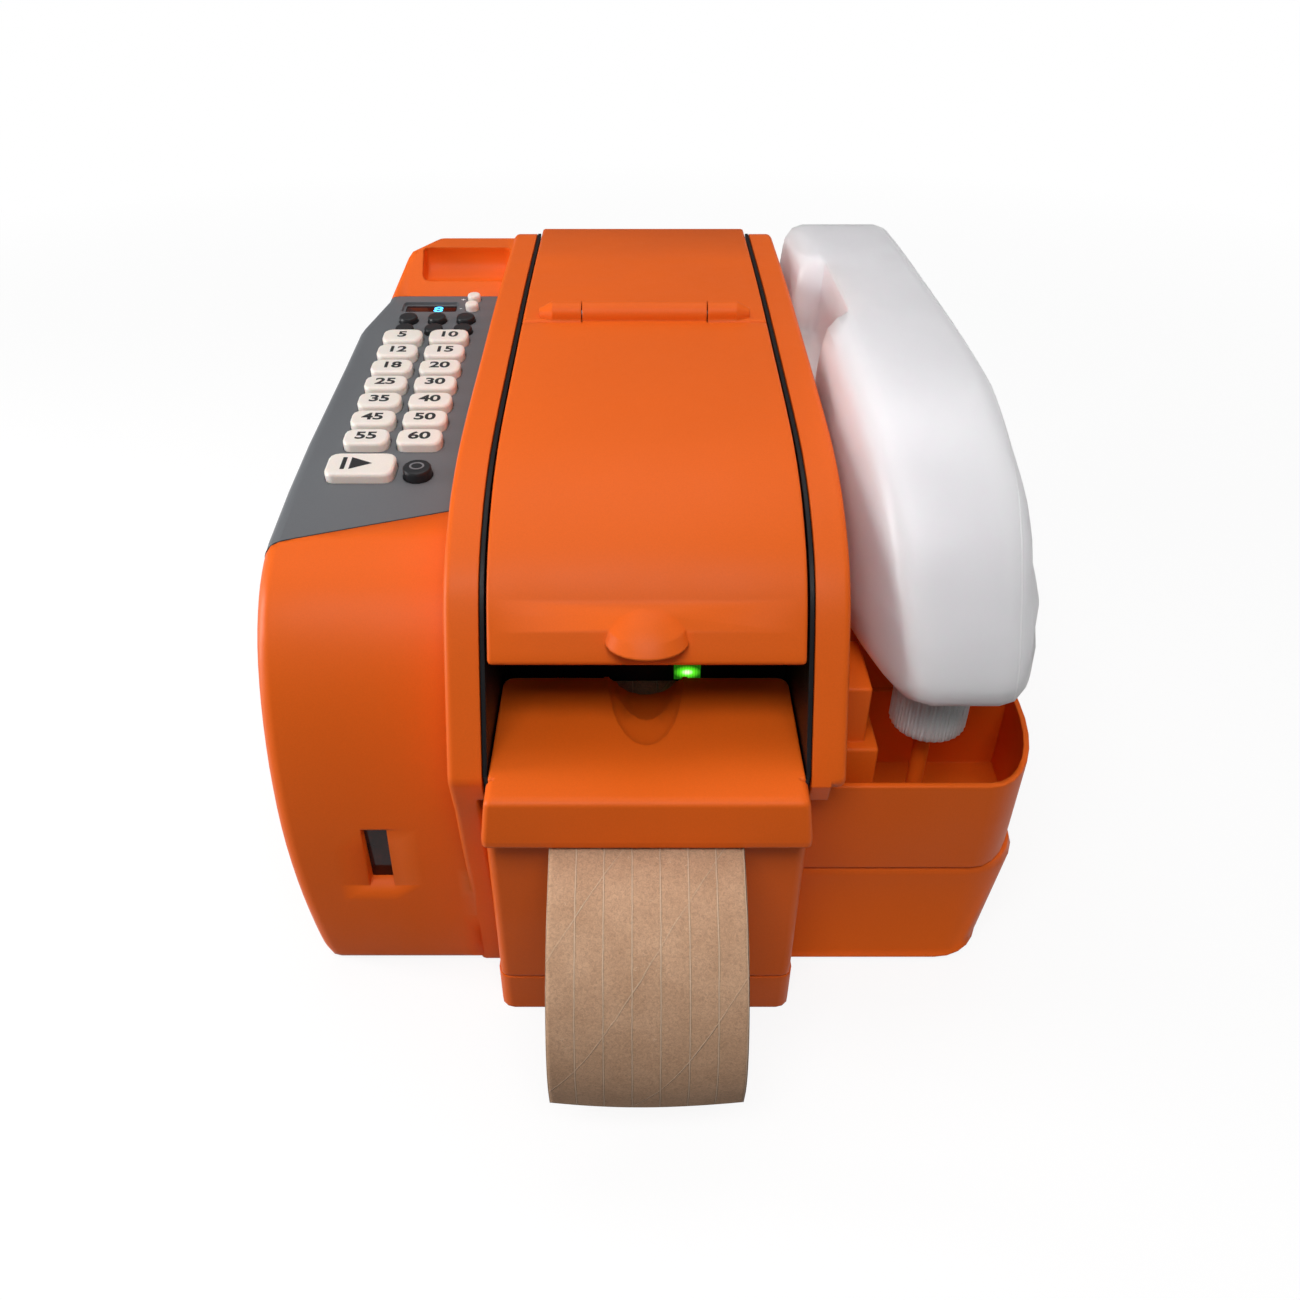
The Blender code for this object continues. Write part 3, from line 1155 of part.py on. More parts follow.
def make_right_body():
    """The lower housing with the bottle's seat, the water tray with its valve post, and the right bezel."""
    step_y = TRAY_REAR_Y + RUNNING_GAP + BEZEL_SOFT_EDGE
    foot = [(TRAY_FRONT_Y, BEZEL_FOOT_Z), (step_y, BEZEL_FOOT_Z)]
    foot += [(step_y, STEP_Z + GAP), (REAR_Y, STEP_Z + GAP)]
    right = bezel("right_bezel", 1, HOUSING_INNER_X, foot, "case_orange")
    rim = prism(
        "right_bezel_rim", bezel_outline([(RIM_FRONT_Y, PLATE_STEP_Z), (REAR_Y, PLATE_STEP_Z)]), "X",
        BEZEL_INNER_X, BEZEL_OUTER_X - BEZEL_SOFT_EDGE * 2, "case_orange",
    )
    join(right, rim)
    rings = []
    for z, inset in (
        (0.0, BODY_ROUND + SIDE_FOOT_INSET / 2), (BODY_ROUND / 2, BODY_ROUND / 3 + SIDE_FOOT_INSET / 2),
        (BODY_ROUND, SIDE_FOOT_INSET / 2), (STEP_Z - BODY_ROUND, 0.0),
        (STEP_Z - BODY_ROUND / 3, BODY_ROUND / 4), (STEP_Z - GAP, BODY_ROUND),
    ):
        front = TRAY_FRONT_Y + (inset - SIDE_FOOT_INSET / 2 if z < BODY_ROUND else inset)
        corner = BODY_CORNER - inset / 2
        plan = right_plan(HOUSING_INNER_X, BODY_OUTER_X - inset, front, REAR_Y - inset, corner, corner)
        rings.append([(x, y, z) for x, y in plan])
    lower = loft("right_housing", rings, "case_orange")
    block = right_plan(
        BEZEL_OUTER_X + GAP, BLOCK_OUTER_X, TRAY_REAR_Y + GAP, BODY_REAR_Y, BODY_ROUND, BODY_CORNER,
    )
    belly = min(z for y, z in bottle_outline())
    seat = prism("bottle_seat", block, "Z", STEP_Z - BODY_ROUND, belly - GAP, "case_orange")
    join(lower, soften(seat, BODY_ROUND / 2, 2, 60))
    tray = prism("water_tray", tray_plan(HOUSING_INNER_X, 0.0), "Z", STEP_Z, TRAY_TOP_Z, "case_orange")
    soften(tray, TRAY_WALL / 4, 2, 60)
    pool = prism(
        "tray_pool", tray_plan(TRAY_POOL_X, TRAY_WALL), "Z", STEP_Z + TRAY_FLOOR, TRAY_TOP_Z + OVERRUN,
        "case_orange",
    )
    cut(tray, pool)
    floor = STEP_Z + TRAY_FLOOR
    cradle = box(
        "cradle_form", (TRAY_POOL_X - TRAY_WALL, CRADLE_X), (CRADLE_FRONT_Y, CRADLE_REAR_Y),
        (floor - TRAY_WALL, CRADLE_TOP_Z), "case_orange",
    )
    lower_step = box(
        "cradle_step", (TRAY_POOL_X - TRAY_WALL, CRADLE_X + TRAY_WALL * 2), (CRADLE_STEP_Y, CRADLE_REAR_Y),
        (floor - TRAY_WALL, CRADLE_STEP_Z), "case_orange",
    )
    join(tray, soften(cradle, TRAY_WALL / 2, 2, 60), soften(lower_step, TRAY_WALL / 2, 2, 60))
    post_foot = floor + GAP
    post_top = cap_bottom() + CAP_EDGE - GAP
    turned(
        "valve_post", (NECK_X, NECK_Y),
        [(POST_COLLAR, post_foot), (POST_COLLAR, post_foot + POST_COLLAR_Z),
         (POST_RADIUS, post_foot + POST_COLLAR_Z), (POST_RADIUS, post_top - POST_PIN_LENGTH),
         (POST_PIN_RADIUS, post_top - POST_PIN_LENGTH), (POST_PIN_RADIUS, post_top)],
        "case_orange", 16,
    )


def bottle_outline():
    """Side view of the bottle lying over the machine's right side."""
    low_y = BOTTLE_REAR_Y - BOTTLE_LENGTH
    points = []
    for y, z in BOTTLE_SHARES:
        points.append((low_y + BOTTLE_LENGTH * y, BOTTLE_FOOT_Z + BOTTLE_HEIGHT * z))
    closed = points + [points[0]]
    return smooth(closed, CURVE_STEPS)[:-1]


def make_bottle():
    """The milky bottle with its hand recess and neck, its ribbed cap and the spring valve in the cap."""
    outline = bottle_outline()
    middle_y = sum(y for y, _ in outline) / len(outline)
    middle_z = sum(z for _, z in outline) / len(outline)
    edges = []
    for shares in (BOTTLE_LEFT_SHARES, BOTTLE_RIGHT_SHARES):
        edges.append([(BOTTLE_REAR_Y - BOTTLE_LENGTH * y, BOTTLE_WIDTH * inset) for y, inset in shares])
    left_edge, right_edge = edges
    lean = [(BOTTLE_FOOT_Z + BOTTLE_HEIGHT * z, BOTTLE_WIDTH * inset) for z, inset in BOTTLE_LEAN_SHARES]
    lean_run = [(BOTTLE_REAR_Y - BOTTLE_LENGTH * y, share) for y, share in BOTTLE_LEAN_RUN_SHARES]

    def left_x(y, z):
        return BOTTLE_LEFT_X + height_at(left_edge, y) + height_at(lean, z) / 4

    def right_x(y, z):
        inset = height_at(right_edge, y) + height_at(lean, z) * height_at(lean_run, y)
        return BOTTLE_LEFT_X + BOTTLE_WIDTH - inset

    sides = []
    for side, side_x in ((-1, left_x), (1, right_x)):
        rings = []
        for i in range(BOTTLE_ROUND_STEPS + 1):
            angle = math.radians(90) * i / BOTTLE_ROUND_STEPS
            back = BOTTLE_ROUND * (1 - math.sin(angle))
            inset = BOTTLE_ROUND * (1 - math.cos(angle))
            shrink_y = 1 - inset * 2 / BOTTLE_LENGTH
            shrink_z = 1 - inset * 2 / BOTTLE_HEIGHT
            ring = []
            for y, z in outline:
                x = side_x(y, z) - side * back
                ring.append((x, middle_y + (y - middle_y) * shrink_y, middle_z + (z - middle_z) * shrink_z))
            rings.append(ring)
        sides.append(rings + crowned(rings[-1], side_x, middle_y, middle_z))
    bottle = loft("water_bottle", list(reversed(sides[0])) + sides[1], "bottle_white")
    recess = [
        (RECESS_FRONT_Y, RECESS_FLOOR_Z), (RECESS_REAR_Y, RECESS_FLOOR_Z),
        (RECESS_REAR_Y, HUMP_Z + OVERRUN * 2), (RECESS_FRONT_Y, HUMP_Z + OVERRUN * 2),
    ]
    recess_x = BOTTLE_LEFT_X + RECESS_DEPTH
    hollow = prism("hand_recess", recess, "X", BOTTLE_LEFT_X - OVERRUN, recess_x, "bottle_white")
    cut(bottle, soften(hollow, RECESS_ROUND, 3, 60))
    neck_low = BOTTLE_FOOT_Z - NECK_LENGTH
    centre = (NECK_X, NECK_Y)
    high = BOTTLE_FOOT_Z + CAP_HEIGHT
    join(bottle, rod("bottle_neck", "Z", centre, NECK_RADIUS, neck_low, high, "bottle_white", 24))
    mouth_top = BOTTLE_FOOT_Z + CAP_HEIGHT / 2
    mouth = rod("bottle_mouth", "Z", centre, MOUTH_RADIUS, neck_low - OVERRUN, mouth_top, "bottle_white", 20)
    cut(bottle, mouth)
    put_origin(bottle, (NECK_X, NECK_Y, BOTTLE_FOOT_Z))
    make_cap(neck_low)


def cap_bottom():
    return BOTTLE_FOOT_Z - GAP * 3 - CAP_HEIGHT


def make_cap(neck_low):
    """Ribbed screw cap round the neck, with the valve plunger through its middle."""
    bottom = cap_bottom()
    top = bottom + CAP_HEIGHT
    sides = CAP_RIBS * 2
    rings = []
    for z, inset in ((bottom, CAP_EDGE), (bottom + CAP_EDGE, 0.0), (top, 0.0)):
        ring = []
        for i, (x, y) in enumerate(arc((0.0, 0.0), 1.0, 0, 360 - 360 / sides, sides - 1)):
            radius = CAP_RADIUS - inset - (CAP_RIB_DEPTH if i % 2 else 0.0)
            ring.append((NECK_X + x * radius, NECK_Y + y * radius, z))
        rings.append(ring)
    cap = loft("bottle_cap", rings, "bottle_white", 20.0)
    centre = (NECK_X, NECK_Y)
    wide = NECK_RADIUS + GAP
    cut(cap, rod("cap_bore", "Z", centre, wide, neck_low - GAP, top + OVERRUN, "bottle_white", 24))
    cut(cap, rod("cap_hole", "Z", centre, VALVE_RADIUS + GAP, bottom - OVERRUN, top, "bottle_white", 16))
    low = bottom + CAP_EDGE
    disc = MOUTH_RADIUS - GAP * 3
    plunger = turned(
        "valve_plunger", centre,
        [(VALVE_RADIUS, low), (VALVE_RADIUS, neck_low), (disc, neck_low + GAP * 2),
         (disc, neck_low + VALVE_RADIUS), (VALVE_RADIUS, low + VALVE_HEIGHT)],
        "rubber_black", 16,
    )
    for piece in (cap, plunger):
        put_origin(piece, (NECK_X, NECK_Y, bottom))


def make_materials():
    material("case_orange", (0.80, 0.16, 0.02), 0.45)
    material("panel_grey", (0.115, 0.12, 0.125), 0.50)
    material("key_cream", (0.84, 0.80, 0.74), 0.40)
    material("button_black", (0.02, 0.02, 0.022), 0.40)
    material("plate_black", (0.015, 0.016, 0.018), 0.45)
    material("bottle_white", (0.78, 0.77, 0.80), 0.35)
    material("kraft", (0.52, 0.37, 0.24), 0.85)
    material("lens_dark", (0.03, 0.01, 0.01), 0.10)
    material("lamp_green", (0.25, 0.80, 0.08), 0.30)
    material("steel", (0.62, 0.63, 0.64), 0.28, 1.0)
    material("rubber_black", (0.03, 0.03, 0.03), 0.80)
    material("tank_black", (0.03, 0.03, 0.032), 0.50)
    material("board_green", (0.02, 0.16, 0.07), 0.50)


def main():
    clear_scene()
    collection(COLLECTION)
    collection("cutters")
    make_materials()
    make_base()
    make_plates()
    make_left_housing()
    make_keyboard()
    make_covers()
    make_heater_cover()
    make_front_housing()
    make_right_body()
    make_bottle()
    make_tape()
    make_rollers()
    make_shear()
    make_lamp()


main()
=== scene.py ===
"""Looks of the gummed tape dispenser: finishes, legends, the paper tape, light and camera.

Metres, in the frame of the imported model. X runs to the right as the user sees it, -Y points at the user and
+Z is up.
"""

import json
import math

import bmesh
import bpy
import numpy as np
from mathutils import Matrix, Vector
from mathutils.kdtree import KDTree

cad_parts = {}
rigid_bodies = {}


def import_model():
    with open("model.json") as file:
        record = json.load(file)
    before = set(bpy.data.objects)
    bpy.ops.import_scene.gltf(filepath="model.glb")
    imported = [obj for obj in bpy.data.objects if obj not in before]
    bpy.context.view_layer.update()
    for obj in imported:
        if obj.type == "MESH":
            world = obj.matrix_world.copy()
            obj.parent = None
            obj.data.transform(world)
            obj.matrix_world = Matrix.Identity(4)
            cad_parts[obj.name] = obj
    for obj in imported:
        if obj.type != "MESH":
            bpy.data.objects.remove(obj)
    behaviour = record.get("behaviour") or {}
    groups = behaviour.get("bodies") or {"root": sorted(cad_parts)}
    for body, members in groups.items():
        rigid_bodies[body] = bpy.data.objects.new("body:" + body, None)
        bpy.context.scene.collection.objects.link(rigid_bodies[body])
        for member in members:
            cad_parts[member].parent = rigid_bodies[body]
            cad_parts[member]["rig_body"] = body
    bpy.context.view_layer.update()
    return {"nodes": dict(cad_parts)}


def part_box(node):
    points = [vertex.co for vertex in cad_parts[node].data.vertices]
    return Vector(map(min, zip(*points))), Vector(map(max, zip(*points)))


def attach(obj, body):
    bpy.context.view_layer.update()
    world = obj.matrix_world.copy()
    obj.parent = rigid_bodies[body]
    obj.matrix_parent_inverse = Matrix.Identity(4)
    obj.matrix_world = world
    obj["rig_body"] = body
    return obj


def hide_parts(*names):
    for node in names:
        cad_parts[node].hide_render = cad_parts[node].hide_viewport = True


# The photograph's frame, and the camera that took it
PHOTO_PIXELS = 1300
FOCAL_PIXELS = 1080
SENSOR = 36.0
CAMERA_PLACE = (-0.0040, -0.465, 0.4241)
CAMERA_PITCH = 36.5
AXIS_SHIFT_PIXELS = 13.5

# The lamps: name, place, the point that each one faces, its two sizes and its power in watts
LAMPS = (
    ("key_soft", (-0.10, -0.88, 1.42), (0.0, -0.05, 0.1), (1.1, 0.5), 13.0),
    ("top_soft", (-0.10, 0.35, 1.40), (0.0, 0.0, 0.1), (1.3, 0.8), 5.0),
    ("left_low", (-1.0, -0.06, 0.28), (-0.1, -0.05, 0.12), (0.25, 0.5), 7.0),
    ("right_soft", (1.25, 0.1, 0.85), (0.05, 0.0, 0.1), (0.7, 0.7), 1.5),
)

# Strength of the studio's light from the horizon and from straight above
SIDE_LIGHT = 0.07
TOP_LIGHT = 0.36

# How much of the floor's white is its own, the rest being what the lamps and the shadow leave on it. It goes
# up to all of it between two distances from the machine's middle.
FLOOR_WHITE = 0.86
FLOOR_NEAR = 0.5
FLOOR_FAR = 1.5
FLOOR_HALF = 60.0

# The keyboard's slope, from its front edge to its rear edge
PANEL_FRONT_Y = -0.0720
PANEL_FRONT_Z = 0.1915
PANEL_REAR_Y = 0.1680
PANEL_REAR_Z = 0.2139

# The joint in front of the keyboard, from the middle section out to the left side and down it. A thin black
# tube laid along it is painted shadow in the gap.
JOINT_LINE = (
    (-0.0786, -0.0440, 0.1939), (-0.0813, -0.0493, 0.1934), (-0.0866, -0.0520, 0.1932),
    (-0.1180, -0.0620, 0.19225), (-0.1490, -0.0720, 0.1913), (-0.1539, -0.0736, 0.1909),
    (-0.1573, -0.0746, 0.1896), (-0.1598, -0.0756, 0.1865), (-0.1607, -0.0759, 0.1826),
    (-0.1608, -0.0760, 0.1795),
)
JOINT_RADIUS = 0.00040
JOINT_STEPS = 4
JOINT_SIDES = 6
JOINT_UP = (0.0, -0.5, 1.0)

# Legends of the length keys, from the rear row to the front row, and of the other buttons
KEY_NUMBERS = (5, 10, 12, 15, 18, 20, 25, 30, 35, 40, 45, 50, 55, 60)
MODE_BUTTONS = 6
ADJUST_SIGNS = ("+", "-")
DISPLAY_DIGIT = "8"

# Lettering, as size, added boldness and stretch
KEY_LETTERING = (0.0086, 0.00026, 1.22)
MODE_LETTERING = (0.0042, 0.00008, 1.3)
SIGN_LETTERING = (0.0040, 0.00006, 1.2)
DISPLAY_LETTERING = (0.0092, 0.00012, 1.25)

# Heights over the keyboard's surface, and how far small legends stand behind or beside their button's middle
LEGEND_LIFT = 0.00004
KEY_TOP = 0.0046
STOP_TOP = 0.0050
DISPLAY_TOP = -0.0018
MODE_BEHIND = 0.0069
SIGN_BESIDE = 0.0066
SIGN_BEHIND = 0.0006
DIGIT_BESIDE = 0.0042

# The start key's arrow and bar, and the half sizes of the stop button's ring, outside and inside
START_ARROW = ((-0.0045, 0.0050), (0.0055, 0.0), (-0.0045, -0.0050))
START_BAR = ((-0.0085, 0.0050), (-0.0085, -0.0050), (-0.0065, -0.0050), (-0.0065, 0.0050))
STOP_OUTER = (0.0034, 0.0030)
STOP_INNER = (0.0025, 0.0021)
RING_SIDES = 40

# The strip of tape from the shear to its free end, as (y, z)
STRIP_LINE = (
    (-0.0709, 0.1244), (-0.1000, 0.1228), (-0.1400, 0.1184), (-0.1657, 0.1146), (-0.1757, 0.1126),
    (-0.1880, 0.1094), (-0.2010, 0.1045), (-0.2126, 0.0972), (-0.2226, 0.0870), (-0.2305, 0.0735),
    (-0.2346, 0.0590), (-0.2349, 0.0450), (-0.2318, 0.0296),
)
STRIP_HALF = 0.0380
STRIP_THICK = 0.00030
STRIP_COLUMNS = 40
STRIP_STEPS = 12

# The strip is flat up to this share of its length. From there its edges curl, it waves and its waist narrows.
STRIP_FLAT = 0.45
STRIP_CURL = 0.0016
STRIP_WAVE = 0.00025
WAVE_ALONG = 95.0
WAVE_ACROSS = 2.2
STRIP_WAIST = 0.012

# The reinforcing threads in the paper: spacing, width and wander of the lengthwise and of the slanting ones
THREADS_ALONG = (0.0108, 0.00042, 0.0006)
THREADS_SLANTING = (0.0330, 0.00036, 0.0010)
THREAD_SLANT = math.radians(-33.0)

# The bottle's parting line and the ribs round its cap
SEAM_X = 0.1410
SEAM_HALF = 0.0005
CAP_RIBS = 60

# Colours
ORANGE = (0.80, 0.124, 0.008)
PANEL_GREY = (0.125, 0.131, 0.140)
KEY_CREAM = (0.83, 0.765, 0.70)
BLACK = (0.016, 0.017, 0.019)
STEEL = (0.62, 0.63, 0.64)
INK_BLACK = (0.008, 0.008, 0.009)
INK_WHITE = (0.75, 0.75, 0.75)
INK_GREY = (0.16, 0.16, 0.17)
DISPLAY_BLUE = (0.05, 0.42, 0.95)
WHITE = (1.0, 1.0, 1.0)

# The moulded grain, and the samples that round an edge's normal
GRAIN_SCALE = 1500.0
PIT_SCALE = 1125.0
EDGE_SAMPLES = 6

# Two faces that meet at less than the crease angle are one curved surface
CREASE_ANGLE = math.radians(32.0)
FLAT_ANGLE = math.radians(0.2)
WELD_DISTANCE = 0.000002

# A large shell's facets take their normals from the surface this far round them
WIDE_REACH = 0.0280
SOFT_REACH = 0.0140
SMALL_REACH = 0.0060

# How densely that surface is sampled, and how far a sample may turn away to count
SAMPLE_SPACING = 0.0060
SAMPLE_CUTS = 24
BEND_LIMIT = math.radians(18.0)

# The left housing's facets are cut this far apart beside the sensor window
CUT_AWAY = 0.0140


def feed(tree, socket, value):
    """Link a socket to another node's output, or set it to a value."""
    if isinstance(value, bpy.types.NodeSocket):
        tree.links.new(value, socket)
    else:
        socket.default_value = value


def node(tree, kind, inputs=None, **settings):
    """A shader node with its settings, and with its inputs as values or as sockets of other nodes."""
    made = tree.nodes.new("ShaderNode" + kind)
    for name, value in settings.items():
        setattr(made, name, value)
    for name, value in (inputs or {}).items():
        feed(tree, made.inputs[name], value)
    return made


def new_material(name):
    made = bpy.data.materials.new(name)
    made.use_nodes = True
    return made, made.node_tree, made.node_tree.nodes["Principled BSDF"]


def set_inputs(tree, shader, **values):
    """The shader's inputs by name, with an underscore for each space."""
    for name, value in values.items():
        feed(tree, shader.inputs[name.replace("_", " ")], value)


def place_of(
    tree, scale=(1.0, 1.0, 1.0), location=(0.0, 0.0, 0.0), rotation=(0.0, 0.0, 0.0), source="Object",
):
    """The surface's own place in metres, stretched, moved and turned."""
    coordinates = node(tree, "TexCoord")
    mapped = node(tree, "Mapping", {
        "Vector": coordinates.outputs[source], "Scale": scale, "Location": location, "Rotation": rotation,
    })
    return mapped.outputs["Vector"]


def noise(tree, vector, scale, detail=3.0, roughness=0.5, distortion=0.0):
    made = node(tree, "TexNoise", {
        "Vector": vector, "Scale": scale, "Detail": detail, "Roughness": roughness, "Distortion": distortion,
    })
    return made.outputs["Fac"]


def ramp(tree, value, stops):
    """A colour or grey ramp from (position, colour) stops."""
    made = node(tree, "ValToRGB", {"Fac": value})
    while len(made.color_ramp.elements) < len(stops):
        made.color_ramp.elements.new(0.5)
    for element, (position, colour) in zip(made.color_ramp.elements, stops):
        element.position = position
        grey = isinstance(colour, (int, float))
        element.color = (colour, colour, colour, 1.0) if grey else (*colour, 1.0)
    return made.outputs["Color"]


def fade(tree, value, start, end, first, last):
    """A value that goes from first to last between start and end, and stays there outside."""
    return node(tree, "MapRange", {
        "Value": value, "From Min": start, "From Max": end, "To Min": first, "To Max": last,
    }, clamp=True).outputs["Result"]


def math_of(tree, operation, *values):
    made = node(tree, "Math", operation=operation)
    for socket, value in zip(made.inputs, values):
        feed(tree, socket, value)
    return made.outputs[0]


def times(tree, first, second):
    return math_of(tree, "MULTIPLY", first, second)


def mixed(tree, share, first, second, blend="MIX"):
    """Two colours mixed."""
    made = node(tree, "Mix", data_type="RGBA", blend_type=blend)
    for i, value in ((0, share), (6, first), (7, second)):
        feed(tree, made.inputs[i], (*value, 1.0) if isinstance(value, tuple) else value)
    return made.outputs[2]


def parts_of(tree, vector):
    """A vector's X, Y and Z."""
    return node(tree, "SeparateXYZ", {"Vector": vector}).outputs


def middle_of(name):
    """The centre of a CAD node's box."""
    low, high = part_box(name)
    return tuple((a + b) / 2 for a, b in zip(low, high))


def place_from_middle(tree, name):
    """The surface's own place in metres, from the centre of a CAD node's box."""
    return place_of(tree, location=tuple(-c for c in middle_of(name)))


def soft_normal(tree, radius):
    """The surface's normal with its edges rounded off."""
    return node(tree, "Bevel", {"Radius": radius}, samples=EDGE_SAMPLES).outputs["Normal"]


def bumped(tree, normal, height, strength, distance):
    inputs = {"Height": height, "Strength": strength, "Distance": distance}
    if normal is not None:
        inputs["Normal"] = normal
    return node(tree, "Bump", inputs).outputs["Normal"]


def edge_mask(tree, radius):
    """Bright on convex and concave edges, black on open faces."""
    flat = node(tree, "NewGeometry").outputs["Normal"]
    turned = soft_normal(tree, radius)
    product = node(tree, "VectorMath", {0: flat, 1: turned}, operation="DOT_PRODUCT").outputs["Value"]
    return ramp(tree, product, ((0.90, 1.0), (0.997, 0.0)))


def moulded_plastic(name, colour, roughness, gloss, grain, edge, variation, wear=0.25):
    """Moulded plastic with a spark-eroded grain, slightly uneven colour and rubbed edges."""
    made, tree, shader = new_material(name)
    place = place_of(tree)
    cloudy = noise(tree, place, 7.0, 2.0)
    fine = noise(tree, place, GRAIN_SCALE, 2.0, 0.6)
    pits = node(tree, "TexVoronoi", {"Vector": place, "Scale": PIT_SCALE, "Randomness": 1.0})
    dark = tuple(c * (1 - variation) for c in colour)
    light = tuple(min(1.0, c * (1 + variation)) for c in colour)
    base = ramp(tree, cloudy, ((0.35, dark), (0.65, light)))
    speckle = ramp(tree, fine, ((0.30, 0.90), (0.70, 1.0)))
    base = mixed(tree, 0.5, base, speckle, "MULTIPLY")
    rubbed = tuple(min(1.0, c * 1.25 + 0.02) for c in colour)
    scuffs = ramp(tree, noise(tree, place, 60.0, 4.0, 0.7), ((0.40, 0.0), (0.75, wear)))
    worn = times(tree, edge_mask(tree, edge * 1.2), scuffs)
    smudge = noise(tree, place, 22.0, 5.0, 0.65)
    height = math_of(tree, "ADD", fine, times(tree, pits.outputs["Distance"], 0.6))
    set_inputs(
        tree, shader,
        Base_Color=mixed(tree, worn, base, rubbed),
        Roughness=ramp(tree, smudge, ((0.30, roughness - 0.05), (0.70, roughness + 0.07))),
        Normal=bumped(tree, soft_normal(tree, edge), height, grain, 0.00010),
        Specular_IOR_Level=gloss,
    )
    return made


def orange_case():
    return moulded_plastic("case_orange", ORANGE, 0.46, 0.18, grain=0.20, edge=0.0011, variation=0.035)


def grey_panel():
    return moulded_plastic("panel_grey", PANEL_GREY, 0.50, 0.30, grain=0.25, edge=0.0008, variation=0.05)


def cream_keys():
    made = moulded_plastic(
        "key_cream", KEY_CREAM, 0.34, 0.40, grain=0.06, edge=0.0009, variation=0.02, wear=0.1,
    )
    tree = made.node_tree
    set_inputs(
        tree, tree.nodes["Principled BSDF"],
        Subsurface_Weight=0.15, Subsurface_Scale=0.002, Coat_Weight=0.15, Coat_Roughness=0.2,
    )
    return made


def black_plastic(name, roughness=0.42):
    return moulded_plastic(name, BLACK, roughness, 0.30, grain=0.15, edge=0.0006, variation=0.1, wear=0.3)


def milky_plastic(name, seam=False, ribs=False):
    """Blow-moulded bottle plastic, which lets light in, with its parting line or with a cap's ribs."""
    made, tree, shader = new_material(name)
    place = place_of(tree)
    flow_marks = noise(tree, place_of(tree, scale=(1.0, 0.35, 1.0)), 18.0, 3.0, 0.5, 0.6)
    base = ramp(tree, flow_marks, ((0.35, (0.76, 0.745, 0.77)), (0.65, (0.81, 0.80, 0.82))))
    ripple = noise(tree, place, 45.0, 3.0, 0.55)
    fine = noise(tree, place, 700.0, 2.0)
    normal = bumped(tree, soft_normal(tree, 0.0030), ripple, 0.10, 0.0012)
    normal = bumped(tree, normal, fine, 0.06, 0.0001)
    parts = parts_of(tree, place)
    if seam:
        away = math_of(tree, "ABSOLUTE", math_of(tree, "SUBTRACT", parts["X"], SEAM_X))
        ridge = fade(tree, away, SEAM_HALF * 0.4, SEAM_HALF, 1.0, 0.0)
        base = mixed(tree, times(tree, ridge, 0.35), base, (0.95, 0.94, 0.95))
        normal = bumped(tree, normal, ridge, 0.7, 0.0003)
    if ribs:
        middle = middle_of("bottle_cap")
        across = math_of(tree, "SUBTRACT", parts["X"], middle[0])
        along = math_of(tree, "SUBTRACT", parts["Y"], middle[1])
        turn = math_of(tree, "ARCTAN2", along, across)
        wave = math_of(tree, "SINE", times(tree, turn, float(CAP_RIBS)))
        normal = bumped(tree, normal, wave, 0.9, 0.0004)
    set_inputs(
        tree, shader,
        Base_Color=base, Roughness=ramp(tree, ripple, ((0.3, 0.30), (0.7, 0.40))), Normal=normal,
        Subsurface_Weight=0.85, Subsurface_Scale=0.030, Subsurface_Radius=(1.0, 0.9, 0.95),
        Specular_IOR_Level=0.35,
    )
    return made


def lines_of(tree, place, spacing, width, wander):
    """Thin lines across a place's X, which is in metres."""
    across = parts_of(tree, place)["X"]
    across = math_of(tree, "ADD", across, times(tree, noise(tree, place, 90.0, 2.0), wander))
    cycle = math_of(tree, "FRACT", math_of(tree, "DIVIDE", across, spacing))
    off = math_of(tree, "ABSOLUTE", math_of(tree, "SUBTRACT", cycle, 0.5))
    return fade(tree, times(tree, off, spacing), width * 0.4, width, 1.0, 0.0)


def kraft_paper(name, source):
    """Kraft paper with short fibres, and with the lengthwise and slanting threads that reinforce it."""
    made, tree, shader = new_material(name)
    place = place_of(tree, source=source)
    curls = node(tree, "TexNoise", {
        "Vector": place, "Scale": 520.0, "Detail": 3.0, "Roughness": 0.55, "Distortion": 1.6,
    }, noise_type="RIDGED_MULTIFRACTAL", normalize=True).outputs["Fac"]
    fibres = noise(tree, place, 900.0, 4.0, 0.7, 1.2)
    blotch = noise(tree, place, 55.0, 4.0, 0.6)
    base = ramp(tree, blotch, ((0.30, (0.540, 0.322, 0.196)), (0.70, (0.640, 0.395, 0.250))))
    base = mixed(tree, 0.80, base, ramp(tree, fibres, ((0.34, 0.62), (0.60, 1.0))), "MULTIPLY")
    base = mixed(tree, ramp(tree, curls, ((0.40, 0.0), (0.80, 0.55))), base, (0.80, 0.58, 0.41))
    height = math_of(tree, "ADD", times(tree, curls, 0.6), fibres)
    along = lines_of(tree, place, *THREADS_ALONG)
    slant = place_of(tree, source=source, rotation=(0.0, 0.0, THREAD_SLANT))
    across = lines_of(tree, slant, *THREADS_SLANTING)
    patchy = ramp(tree, noise(tree, place, 30.0, 2.0), ((0.35, 0.15), (0.60, 1.0)))
    ridge = math_of(tree, "MAXIMUM", along, times(tree, across, patchy))
    height = math_of(tree, "ADD", height, times(tree, ridge, 2.6))
    set_inputs(
        tree, shader,
        Base_Color=mixed(tree, times(tree, ridge, 0.45), base, (0.86, 0.66, 0.48)),
        Roughness=ramp(tree, fibres, ((0.3, 0.78), (0.7, 0.92))),
        Normal=bumped(tree, None, height, 0.8, 0.00022),
        Specular_IOR_Level=0.10, Sheen_Weight=0.05,
    )
    return made


